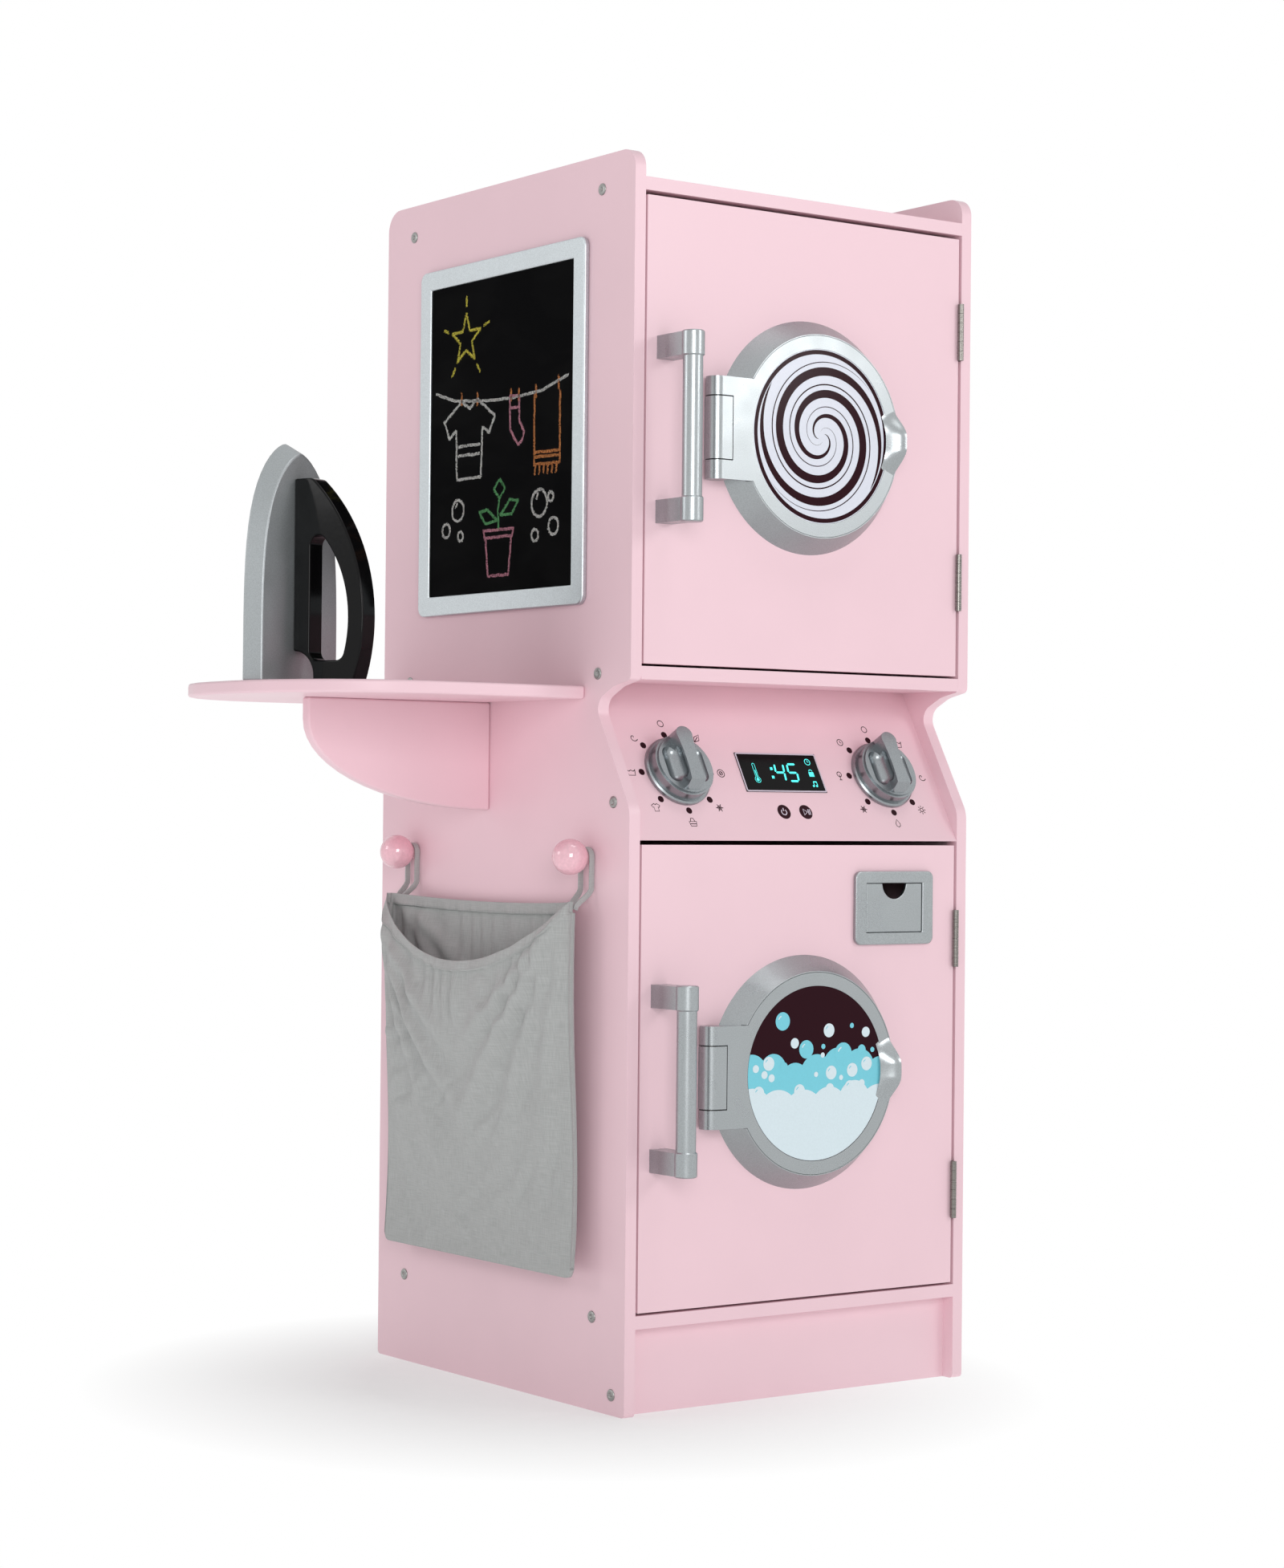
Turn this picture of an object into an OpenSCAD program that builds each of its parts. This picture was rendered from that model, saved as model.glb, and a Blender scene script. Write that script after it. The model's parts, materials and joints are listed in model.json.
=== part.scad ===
// Toy laundry centre: a dryer stacked on a washing machine, with an ironing shelf,
// a chalkboard and a laundry bag on its left side. Millimetres, +Z up, doors face -Y.
// Every module draws in cabinet coordinates (x = 0 on the cabinet's middle, y = 0 on its
// front plane, z = 0 on the floor) and stand() then moves it to the part's own origin.

/* [Cabinet] */
// Outside width of the cabinet
cabinet_w = 356; // [330:1:400]
// Depth of the side panels
cabinet_d = 362; // [340:1:400]
// Height of the side panels
cabinet_h = 1000; // [980:1:1040]
// Thickness of the painted boards
board_t = 10.5; // [9:0.5:12]
// How far the top board lies below the top of the side panels
top_drop = 22; // [15:1:30]
// Height of the dryer floor's upper face
dryer_floor_z = 591.5; // [586:0.5:597]
// Height of the washer floor's upper face
washer_floor_z = 79.5; // [74:0.5:85]
// Thickness of the back panels
back_t = 3; // [2:0.5:5]
// How far the kick board lies behind the front
kick_setback = 12; // [8:1:20]

/* [Control panel] */
// Height of the control panel's lower edge
panel_z = 454; // [450:0.5:458]
// Lean of the control panel from upright, degrees
panel_lean = 29.3; // [26:0.1:32]
// How deep the side panels' front edge is cut back beside the control panel
waist_d = 44; // [38:1:48]
// Distance from the middle to each knob
knob_x = 108.6; // [100:0.2:114]
// Distance from the panel's lower edge up to the knobs, along the panel
knob_s = 62.3; // [58:0.1:68]
// Radius of the knob's skirt
knob_r = 30.5; // [27:0.5:32]
// Height of the knob with its grip bar
knob_h = 24; // [20:0.5:27]
// Width of the display
display_w = 85; // [70:1:100]
// Height of the display along the panel
display_h = 36.5; // [30:0.5:42]

/* [Doors] */
// Gap below the doors and on their handle side
door_gap = 2; // [1.5:0.1:2.5]
// Gap above the doors
door_head_gap = 3.5; // [3:0.1:4.5]
// Gap on the hinge side
hinge_gap = 3; // [2.8:0.1:3.5]
// Length of a hinge
hinge_l = 48; // [40:1:56]
// Distance from the door's middle to each hinge's middle
hinge_rise = 106; // [95:1:115]
// Length of the bar handle
handle_l = 150; // [130:1:165]
// Radius of the handle bar
handle_r = 8; // [6.5:0.5:9]
// Distance from the door to the middle of the handle bar
handle_out = 36; // [32:0.5:40]
// Distance from the door's free edge to the middle of the handle bar
handle_inset = 18.5; // [16:0.5:22]

/* [Portholes] */
// Height of the dryer porthole's middle
dryer_port_z = 783; // [776:1:786]
// Height of the washer porthole's middle
washer_port_z = 265.5; // [262:0.5:267]
// Radius of the bezel on the door
bezel_r = 95.5; // [90:0.5:97]
// Radius of the lid's face
face_r = 83; // [78:0.5:84]
// Radius of the round window
window_r = 71; // [66:0.5:73]
// Radius of the round hole in the door
port_hole_r = 74; // [68:0.5:76]
// How far the bezel stands out from the door
bezel_h = 18.3; // [16:0.1:21]

/* [Detergent drawer] */
// Width of the drawer's bezel
drawer_w = 85; // [78:0.5:90]
// Height of the drawer's bezel
drawer_h = 61; // [54:0.5:63]
// Distance from the cabinet's middle to the drawer's middle
drawer_x = 95.5; // [92:0.5:100]
// Depth of the drawer's tray behind the door's front
drawer_d = 48; // [40:1:70]

/* [Chalkboard] */
// Width of the chalkboard frame
chalk_w = 242; // [200:1:260]
// Height of the chalkboard frame
chalk_h = 296; // [240:1:310]
// How far the chalkboard's middle lies below the middle of the wall above the shelf
chalk_drop = -1.5; // [-10:0.5:10]
// Width of the frame's border
chalk_border = 16.5; // [12:0.5:22]
// Thickness of the frame
chalk_t = 5; // [4:0.5:8]

/* [Ironing shelf] */
// How far the ironing shelf reaches from the side panel
shelf_reach = 253; // [230:1:280]
// Width of the ironing shelf along the side panel
shelf_w = 290; // [260:1:300]
// Height of the shelf's upper face
shelf_z = 577; // [570:0.5:580]
// Reach of the bracket under the shelf
bracket_reach = 177; // [150:1:190]
// Height of the bracket under the shelf
bracket_h = 90; // [75:1:100]

/* [Iron] */
// Length of the iron from heel to tip
iron_l = 193; // [180:1:200]
// Width of the sole
iron_w = 100; // [85:1:105]
// Thickness of the sole
iron_sole_t = 18; // [14:0.5:22]
// Turn of the standing iron on the shelf, degrees
iron_turn = 20; // [0:1:30]

/* [Laundry bag] */
// Width of the bag
bag_w = 269; // [240:1:275]
// Height of the bag at its back
bag_h = 300; // [270:1:310]
// Depth of the bag at its middle
bag_d = 42; // [32:1:55]
// Height of the pegs' middle
peg_z = 440; // [434:1:446]
// Distance between the pegs
peg_span = 256; // [240:1:262]
// Radius of a peg's ball
peg_r = 14.5; // [12:0.5:17]

/* [Hidden] */
$fn = 64;

// Colours
pink = [0.93, 0.78, 0.82];
silver = [0.78, 0.80, 0.81];
steel = [0.62, 0.64, 0.65];
dark_print = [0.17, 0.08, 0.10];
foam_print = [0.50, 0.83, 0.88];
black = [0.04, 0.04, 0.05];
zinc = [0.55, 0.56, 0.58];
cotton = [0.66, 0.67, 0.66];

// Room between pieces that move against each other, and a cutter's overshoot
clearance = 0.3;
over = 1;

// Cabinet frame
half_w = cabinet_w / 2;
inner_w = cabinet_w - 2 * board_t;
top_z = cabinet_h - top_drop;
floor_d = cabinet_d - back_t - over;
screw_r = 2;
screw_head_r = 4.8;
screw_head_h = 1.2;
screw_l = 32;
screw_socket_r = 2;
kick_screw_z = 16;
screw_front_y = 44;
screw_rear_inset = 42;
screw_rear_y = cabinet_d - screw_rear_inset;

// Door openings, lowest and highest point
dryer_opening = [dryer_floor_z, top_z - board_t];
washer_opening = [washer_floor_z, panel_z];
door_left = -inner_w / 2 + door_gap;
door_right = inner_w / 2 - hinge_gap;
door_mid = (door_left + door_right) / 2;
door_w = door_right - door_left;

// Door hinges
hinge_r = 2.5;
hinge_pin_r = 1.1;
leaf_t = 1.2;
leaf_w = board_t - 2;
hinge_x = door_right;
hinge_y = -hinge_r - clearance;
knuckles = 6;

// Magnets that hold the doors shut
strike_t = 0.8;
magnet_size = [8, 16, 40];

// Handles
cap_r = handle_r + 1.2;
cap_l = 20;
cap_edge = 1;
post_w = 2 * cap_r - 1.6;
post_l = cap_l - 1.6;
handle_x = door_left + handle_inset;

// Portholes; heights are measured out from the door's face
lip = 0.8;
lid_t = 4;
lid_r = face_r - lip - clearance;
port_knuckle_r = bezel_h / 2 - clearance / 2;
port_axis_out = bezel_h - port_knuckle_r;
port_axis_x = -(bezel_r + 5.9);
tab_h = 82;
port_knuckle_l = 50;
port_knuckle_gap = 0.9;
port_turn_r = 12.8;
port_turn_gap = 0.5;
port_pin_r = 2;
running = 0.1;
window_t = 1.5;
window_drop = 0.3;
grip_chord = 58;
grip_inner_rise = 6.5;
grip_outer_rise = 11.5;
grip_t = 2.2;
grip_x = window_r - 3.5;
grip_w = lid_r - grip_x;

// Drawer
drawer_drop = 21.5;
drawer_z = washer_opening[1] - door_head_gap - drawer_drop - drawer_h / 2;
drawer_border = 12;
drawer_bezel_t = 4;
sleeve_t = 1.5;
mouth_w = drawer_w - 2 * drawer_border;
mouth_h = drawer_h - 2 * (drawer_border - 2);
notch_r = 13;
tray_wall = 1.5;

// Knobs
skirt_h = 4;
skirt_edge = 1.2;
drum_r = knob_r - 3;
drum_h = 12;
disc_r = drum_r - 2;
disc_h = 13.5;
bar_w = 16;
bar_waist = 12;
bar_down = 23.5;
bar_up = knob_r - 1;
bar_slope = 5;
scoop_r = 8;
scoop_depth = 4;
scoop_half_l = 9;
scoop_bite = 1;
knob_bore_r = 3;
knob_screw_head = [6.5, 2.5];

// Control panel, and the waist of the side panels beside it
panel_rise = dryer_floor_z - board_t - panel_z;
waist_drop = 24;
waist_top = dryer_floor_z - board_t - waist_drop;
waist_bottom = waist_top - waist_d / tan(panel_lean);
waist_low_round = 24;
waist_back = [waist_d + 4, waist_top + 6];
waist_back_round = 12;
waist_lip = [22, waist_top + 19];
waist_lip_round = 30;
waist_end = waist_top + 23.5;
waist_end_round = 5;

// Rounds of the side panels' corners
head_front_round = 15;
head_rear_round = 18;
foot_round = 4;

// Bracket, bag and pegs
side_x = -half_w;
side_mid = cabinet_d / 2;
shelf_offset = 25;
shelf_mid = side_mid + shelf_offset;
chalk_z = (shelf_z + cabinet_h) / 2 - chalk_drop;
peg_neck_r = 6;
peg_gap = 4.6;
bag_wall = 2.5;
bag_gap = 2;
bag_drop = 34;
bag_top = peg_z - bag_drop;
hem_sag = 36;
loop_t = 1.6;
loop_w = peg_gap + 0.6;
loop_gap = 0.5;

// Iron; its handle's side view is drawn as fractions of its length
iron_at = [side_x - shelf_reach * 0.747, side_mid + 9];
iron_draft = 0.95;
iron_handle_t = 17;
iron_handle_top = iron_l * 0.844;
iron_handle_reach = iron_l * 0.362;
iron_handle_curve = iron_l * 0.766;
iron_handle_mid = iron_l * 0.26;
iron_slot = [iron_l * 0.083, iron_l * 0.089, iron_l * 0.604];
iron_slot_reach = iron_l * 0.283;
iron_slot_curve = iron_l * 0.5;
iron_round = iron_l * 0.0415;
iron_notch_r = iron_l * 0.104;
iron_notch_z = iron_l * 0.026;

// The part's origin is the middle of its own footprint
part_left = side_x - shelf_reach;
part_right = half_w + screw_head_h;
part_front = -(handle_out + cap_r);
part_shift = [-(part_left + part_right) / 2, -(part_front + cabinet_d) / 2, 0];

module stand() translate(part_shift) children();

// Unit vector, and the points of a round at corner b between the corners a and c
function unit(v) = v / norm(v);
function corner(a, b, c, steps = 8) =
    let (r = b[2], p = [b[0], b[1]], u = unit([a[0], a[1]] - p), v = unit([c[0], c[1]] - p))
    r == 0 ? [p] :
    let (half = acos(u * v) / 2, mid = p + unit(u + v) * r / sin(half),
         from = p + u * r / tan(half) - mid, to = p + v * r / tan(half) - mid,
         start = atan2(from[1], from[0]), turn = atan2(to[1], to[0]) - start,
         sweep = turn > 180 ? turn - 360 : turn < -180 ? turn + 360 : turn)
    [for (i = [0:steps]) mid + r * [cos(start + sweep * i / steps), sin(start + sweep * i / steps)]];
// Closed outline through corners [x, y, radius], each with its own round
function rounded(c) =
    [for (i = [0:len(c) - 1]) each corner(c[(i + len(c) - 1) % len(c)], c[i], c[(i + 1) % len(c)])];
function rounded_box(w, h, r) =
    rounded([[-w / 2, -h / 2, r], [w / 2, -h / 2, r], [w / 2, h / 2, r], [-w / 2, h / 2, r]]);

// Points of an arc from one angle to another
function arc(mid, r, from, to, steps = 12) =
    let (step = (to - from) / steps)
    [for (i = [0:steps]) mid + r * [cos(from + step * i), sin(from + step * i)]];
// Middle of a round r, at a given height, that touches a big arc from inside
function inner_round(mid, big_r, r, height) =
    [mid[0] + sqrt(pow(big_r - r, 2) - pow(height - mid[1], 2)), height];
function bearing(from, to) = atan2(to[1] - from[1], to[0] - from[0]);

// A board whose outline is given in (y, z), standing across x from x0, t thick
module upright_board(x0, t) translate([x0, 0, 0]) rotate([90, 0, 90]) linear_extrude(t) children();
// A piece drawn with its own +z out of the door's face, at (x, z) on the front plane
module on_front(x, z, y = 0) translate([x, y, z]) rotate([90, 0, 0]) children();
// A piece drawn with its own +z out of the control panel's face, s up the slope
module on_panel(x, s) translate([x, 0, panel_z]) rotate([-panel_lean, 0, 0])
    translate([0, 0, s]) rotate([90, 0, 0]) children();

// Screws through the side panels, as [y, z] pairs
function board_screws(z) = [[screw_front_y, z], [screw_rear_y, z]];
panel_screw = [[panel_rise * tan(panel_lean) * 0.19 + board_t * 0.75, panel_z + panel_rise * 0.235]];
kick_screw = [[kick_setback + board_t / 2, kick_screw_z]];
side_screws = concat(board_screws(top_z - board_t / 2), board_screws(dryer_floor_z - board_t / 2),
    board_screws(washer_floor_z - board_t / 2), panel_screw, kick_screw);
// Holes for the screws of one side, along +x, from the side panel's outer face
module screw_holes(places, r) for (side = [0, 1]) mirror([side, 0, 0])
    for (p = places) translate([side_x - over, p[0], p[1]]) rotate([0, 90, 0])
        cylinder(r = r, h = screw_l + over);

// Cabinet

// Side view of a side panel: straight above, cut back to a waist beside the control panel
module side_outline() polygon(rounded([
    [0, 0, foot_round], [0, waist_bottom, waist_low_round], [each waist_back, waist_back_round],
    [each waist_lip, waist_lip_round], [0, waist_end, waist_end_round],
    [0, cabinet_h, head_front_round], [cabinet_d, cabinet_h, head_rear_round],
    [cabinet_d, 0, foot_round]]));

module side_panel() difference() {
    upright_board(side_x, board_t) side_outline();
    screw_holes(side_screws, screw_r);
}

module left_side_panel() color(pink) stand() side_panel();

module right_side_panel() color(pink) stand() mirror([1, 0, 0]) side_panel();

module flat_board(z_top, depth) difference() {
    translate([-inner_w / 2, 0, z_top - board_t]) cube([inner_w, depth, board_t]);
    screw_holes(board_screws(z_top - board_t / 2), screw_r);
}

module top_board() color(pink) stand() flat_board(top_z, floor_d);

module dryer_floor() color(pink) stand() flat_board(dryer_floor_z, floor_d);

module washer_floor() color(pink) stand() flat_board(washer_floor_z, floor_d);

module kick_board() color(pink) stand() difference() {
    translate([-inner_w / 2, kick_setback, 0]) cube([inner_w, board_t, washer_floor_z - board_t]);
    screw_holes(kick_screw, screw_r);
}

module back_panel(z_low, z_high) color(pink) stand()
    translate([-inner_w / 2, floor_d, z_low]) cube([inner_w, back_t, z_high - z_low]);

module dryer_back_panel() back_panel(dryer_floor_z - board_t / 2, top_z);

module washer_back_panel() back_panel(washer_floor_z - board_t, dryer_floor_z - board_t / 2);

// A leaning board, cut level at both ends, with a hole for each knob's screw
module control_panel() color(pink) stand() difference() {
    intersection() {
        on_panel(0, 0) translate([-inner_w / 2, -board_t, -board_t])
            cube([inner_w, panel_rise * 1.5, board_t]);
        translate([-inner_w / 2, -over, panel_z]) cube([inner_w, cabinet_d, panel_rise]);
    }
    for (side = [-1, 1]) on_panel(side * knob_x, knob_s)
        translate([0, 0, -board_t - over]) cylinder(r = knob_bore_r + running, h = board_t + 2 * over);
    screw_holes(panel_screw, screw_r);
}

module display_panel() color(black) stand() on_panel(0, knob_s + 1.4)
    translate([-display_w / 2, -display_h / 2, 0]) cube([display_w, display_h, strike_t]);

module cabinet_screws() color(zinc) stand() for (side = [0, 1]) mirror([side, 0, 0])
    for (p = side_screws) translate([side_x, p[0], p[1]]) rotate([0, 90, 0]) difference() {
        union() {
            cylinder(r = screw_r, h = screw_l - over);
            translate([0, 0, -screw_head_h]) cylinder(r = screw_head_r, h = screw_head_h);
        }
        translate([0, 0, -screw_head_h - over]) cylinder(r = screw_socket_r, h = screw_head_h + over, $fn = 6);
    }

// Left side: chalkboard, ironing shelf, bracket and pegs

module on_left_side(y, z) translate([side_x, y, z]) rotate([90, 0, -90]) children();

module chalkboard_frame() color(silver) stand() on_left_side(side_mid, chalk_z) difference() {
    linear_extrude(chalk_t) polygon(rounded_box(chalk_w, chalk_h, 8));
    translate([0, 0, -over]) linear_extrude(chalk_t + 2 * over)
        square([chalk_w - 2 * chalk_border, chalk_h - 2 * chalk_border], center = true);
}

module chalkboard() color(black) stand() on_left_side(side_mid, chalk_z)
    linear_extrude(chalk_t - 1.8)
        square([chalk_w - 2 * chalk_border, chalk_h - 2 * chalk_border], center = true);

module ironing_shelf() color(pink) stand() translate([side_x, shelf_mid, shelf_z - board_t])
    linear_extrude(board_t) polygon(rounded([
        [0, -shelf_w / 2, 0], [-shelf_reach, -shelf_w / 2, shelf_w * 0.43],
        [-shelf_reach, shelf_w / 2, shelf_w * 0.43], [0, shelf_w / 2, 0]]));

// Bracket: a short straight edge at its outer end, then a quarter of an ellipse
module shelf_bracket() color(pink) stand()
    translate([side_x, shelf_mid - board_t, shelf_z - board_t]) rotate([90, 0, 0])
        translate([0, 0, -board_t]) linear_extrude(board_t) polygon(concat([[0, 0], [-bracket_reach, 0]],
            [for (a = [0:6:90]) [-bracket_reach * cos(a), -bracket_h * (0.2 + 0.8 * sin(a))]]));

// A ball on a short neck, with a screw thread's plain shank in the side panel
module bag_pegs() color(pink) stand() for (side = [-1, 1])
    on_left_side(side_mid + side * peg_span / 2, peg_z) {
        cylinder(r = peg_neck_r, h = peg_gap + peg_r);
        translate([0, 0, peg_gap + peg_r]) sphere(r = peg_r);
    }

// Door hinges: two leaves wrapped round a pin, their knuckles taking turns

module knuckle(i) translate([hinge_x, hinge_y, -hinge_l / 2 + i * hinge_l / knuckles + running])
    difference() {
        children();
        translate([0, 0, -over]) cylinder(r = hinge_pin_r + running, h = hinge_l);
    }

// A leaf's knuckles with the straps that turn from the gap beside the door to the barrel
module hinge_leaf(first, leaf_x) {
    for (i = [first:2:knuckles - 1]) knuckle(i) union() {
        cylinder(r = hinge_r, h = hinge_l / knuckles - 2 * running);
        translate([leaf_x - hinge_x, 0, 0]) cube([leaf_t, -hinge_y + over, hinge_l / knuckles - 2 * running]);
    }
    translate([leaf_x, over / 2, -hinge_l / 2]) cube([leaf_t, leaf_w, hinge_l]);
}

function door_middle(opening) = (opening[0] + door_gap + opening[1] - door_head_gap) / 2;
module at_hinges(opening) for (side = [-1, 1])
    translate([0, 0, door_middle(opening) + side * hinge_rise]) children();

module frame_hinge_leaves(opening) color(steel) stand() at_hinges(opening)
    hinge_leaf(0, inner_w / 2 - leaf_t);

module door_hinge_leaves(opening) color(steel) stand() at_hinges(opening)
    hinge_leaf(1, door_right);

module hinge_pins(opening) color(steel) stand() at_hinges(opening)
    translate([hinge_x, hinge_y, -hinge_l / 2]) cylinder(r = hinge_pin_r, h = hinge_l);

// Magnet on the left side panel and steel strike on the door's back
module door_magnet(opening) color(black) stand()
    translate([-inner_w / 2, board_t + strike_t + clearance, door_middle(opening) - magnet_size[2] / 2])
        cube(magnet_size);

module door_strike(opening) color(steel) stand()
    translate([door_left + over, board_t, door_middle(opening) - magnet_size[2] / 2])
        cube([magnet_size[0] * 1.5, strike_t, magnet_size[2]]);

// Doors

// Where the two ends of the handle stand, on the door's face at its middle height
module at_handle_ends(opening) for (side = [-1, 1])
    translate([handle_x, 0, door_middle(opening) + side * (handle_l - cap_l) / 2]) children();

module handle_holes(opening) at_handle_ends(opening)
    translate([0, -handle_out / 2, 0]) rotate([-90, 0, 0])
        cylinder(r = screw_r, h = handle_out / 2 + board_t + over);

module door_board(opening, port_z) difference() {
    translate([door_left, 0, opening[0] + door_gap])
        cube([door_w, board_t, opening[1] - opening[0] - door_gap - door_head_gap]);
    on_front(door_mid, port_z, board_t + over) cylinder(r = port_hole_r, h = board_t + 2 * over);
    handle_holes(opening);
}

module plain_bar(opening) translate([handle_x, -handle_out, door_middle(opening) - handle_l / 2 + over])
    cylinder(r = handle_r, h = handle_l - 2 * over);

module handle_bar(opening) color(silver) stand() plain_bar(opening);

// Square posts whose round ends clasp the bar
module handle_posts(opening) color(silver) stand() difference() {
    at_handle_ends(opening) translate([0, -handle_out, 0]) {
        rotate_extrude() polygon([
            [0, -cap_l / 2], [cap_r - cap_edge, -cap_l / 2], [cap_r, cap_edge - cap_l / 2],
            [cap_r, cap_l / 2 - cap_edge], [cap_r - cap_edge, cap_l / 2], [0, cap_l / 2]]);
        translate([-post_w / 2, 0, -post_l / 2]) cube([post_w, handle_out, post_l]);
    }
    plain_bar(opening);
    handle_holes(opening);
}

// Screws from behind the door, up into the posts
module handle_screws(opening) color(zinc) stand() at_handle_ends(opening)
    translate([0, board_t, 0]) rotate([90, 0, 0]) {
        cylinder(r = screw_r, h = board_t + handle_out / 2 - over);
        translate([0, 0, -screw_head_h]) cylinder(r = screw_head_r, h = screw_head_h);
    }

// Portholes

// A cylinder along the lid's pin
module on_port_axis(r, l) translate([port_axis_x, l / 2, port_axis_out]) rotate([90, 0, 0])
    cylinder(r = r, h = l);

// A tapered ring with the fixed middle knuckle of the lid's hinge; the knuckle's flat top
// reaches over to the lid and ends in a round about the pin, so that the lid can turn
module porthole_bezel(port_z) color(silver) stand() on_front(door_mid, port_z) difference() {
    union() {
        rotate_extrude() polygon([
            [face_r - lip, 0], [bezel_r, 0], [face_r, bezel_h], [face_r - lip, bezel_h]]);
        on_port_axis(port_knuckle_r, port_knuckle_l);
        translate([port_axis_x - port_knuckle_r * 0.6, -port_knuckle_l / 2, 0])
            cube([port_knuckle_r * 1.2, port_knuckle_l, port_axis_out]);
        intersection() {
            on_port_axis(port_turn_r, port_knuckle_l);
            translate([port_axis_x, -port_knuckle_l, 0])
                cube([port_turn_r, 2 * port_knuckle_l, port_axis_out + port_knuckle_r]);
        }
    }
    translate([port_axis_x, -tab_h / 2 - clearance, bezel_h - lid_t - clearance])
        difference() {
            cube([bezel_r / 2, tab_h + 2 * clearance, bezel_h]);
            translate([-over, tab_h / 2 + clearance - port_knuckle_l / 2, -over])
                cube([port_turn_r + over, port_knuckle_l, bezel_h]);
        }
    on_port_axis(port_pin_r, tab_h);
}

module porthole_pin(port_z) color(steel) stand() on_front(door_mid, port_z) on_port_axis(port_pin_r, tab_h);

// A ring with a rebate for the window, and a tab that wraps round the pin above and below
module porthole_lid(port_z) color(silver) stand() on_front(door_mid, port_z) difference() {
    union() {
        translate([0, 0, bezel_h - lid_t]) cylinder(r = lid_r, h = lid_t);
        translate([port_axis_x, -tab_h / 2, bezel_h - lid_t]) cube([-port_axis_x - window_r, tab_h, lid_t]);
        on_port_axis(port_knuckle_r, tab_h);
    }
    on_port_axis(port_turn_r + port_turn_gap, port_knuckle_l + 2 * port_knuckle_gap);
    cylinder(r = window_r - 5, h = bezel_h + over);
    translate([0, 0, bezel_h - window_t - window_drop]) cylinder(r = window_r + running, h = bezel_h);
    on_port_axis(port_pin_r + running, tab_h + 2 * over);
}

module porthole_window(port_z, shade) color(shade) stand() on_front(door_mid, port_z)
    translate([0, 0, bezel_h - window_t - window_drop]) cylinder(r = window_r, h = window_t);

// A grip's height above the ring, at a distance out from its inner edge
function grip_rise(x) = grip_inner_rise + (grip_outer_rise - grip_inner_rise) * x / grip_w;

// The grip's outside, or its hollow a wall's thickness further in: an arch that grows outwards
// in one straight step
module grip_arch(wall) translate([grip_x + wall, 0, bezel_h]) rotate([90, 0, 90])
    linear_extrude(grip_w, scale = [1, (grip_rise(wall + grip_w) - wall) / (grip_rise(wall) - wall)],
            $fn = 1)
        polygon([for (t = [-1:0.0625:1])
            [(grip_chord / 2 - 2 * wall) * t, (grip_rise(wall) - wall) * pow(cos(90 * t), 1.1)]]);

// An arched grip on the ring, closed towards the window and open at its outer edge for a finger
module porthole_grip(port_z) color(silver) stand() on_front(door_mid, port_z) difference() {
    grip_arch(0);
    translate([0, 0, -over / 100]) grip_arch(grip_t);
}

// Detergent drawer in the washer door

module drawer_bezel() color(silver) stand() on_front(drawer_x, drawer_z) difference() {
    union() {
        linear_extrude(drawer_bezel_t) polygon(rounded_box(drawer_w, drawer_h, 6));
        translate([0, 0, -board_t - 8]) linear_extrude(board_t + 8)
            square([mouth_w + 2 * sleeve_t, mouth_h + 2 * sleeve_t], center = true);
    }
    translate([0, 0, -board_t - 8 - over]) linear_extrude(board_t + drawer_bezel_t + 8 + 2 * over)
        square([mouth_w, mouth_h], center = true);
}

// A front with a half-round finger notch in its upper edge
module drawer_front() color(silver) stand() on_front(drawer_x, drawer_z) linear_extrude(tray_wall * 2)
    difference() {
        square([mouth_w - 2 * clearance, mouth_h - 2 * clearance], center = true);
        translate([0, mouth_h / 2]) circle(r = notch_r);
    }

module drawer_tray() color(silver) stand() on_front(drawer_x, drawer_z) translate([0, 0, -drawer_d])
    difference() {
        tray_w = mouth_w - 4 * clearance;
        tray_h = mouth_h - notch_r - 4;
        translate([-tray_w / 2, -mouth_h / 2 + 2 * clearance, 0]) cube([tray_w, tray_h, drawer_d]);
        translate([-tray_w / 2 + tray_wall, -mouth_h / 2 + 2 * clearance + tray_wall, tray_wall])
            cube([tray_w - 2 * tray_wall, tray_h, drawer_d - 2 * tray_wall]);
    }

// Knobs: a skirt, a drum with a raised disc and a waisted grip bar across it

// Plan of the grip bar: round at its upper end, which reaches past the drum
module bar_plan() {
    waist_r = (pow(bar_down, 2) + pow((bar_w - bar_waist) / 2, 2)) / (bar_w - bar_waist);
    difference() {
        polygon(rounded([[-bar_w / 2, -bar_down, 4], [bar_w / 2, -bar_down, 4],
            [bar_w / 2, bar_up, bar_w * 0.49], [-bar_w / 2, bar_up, bar_w * 0.49]]));
        for (side = [-1, 1]) translate([side * (waist_r + bar_waist / 2), 0]) circle(r = waist_r, $fn = 200);
    }
}

// The bar's lower end slopes down to the disc
module grip_bar() intersection() {
    linear_extrude(knob_h - clearance) bar_plan();
    translate([-bar_w, 0, 0]) rotate([90, 0, 90]) linear_extrude(2 * bar_w) polygon([
        [-bar_down, 0], [bar_up, 0], [bar_up, knob_h], [bar_slope - bar_down, knob_h], [-bar_down, disc_h]]);
}

// A hollow beside the bar for a finger tip, biting a little into the bar's side
module scoop() translate([bar_waist / 2 + scoop_r - scoop_bite, 0, disc_h + scoop_r - scoop_depth]) {
    rotate([90, 0, 0]) cylinder(r = scoop_r, h = 2 * scoop_half_l, center = true);
    for (end = [-1, 1]) translate([0, end * scoop_half_l, 0]) sphere(r = scoop_r);
}

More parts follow.
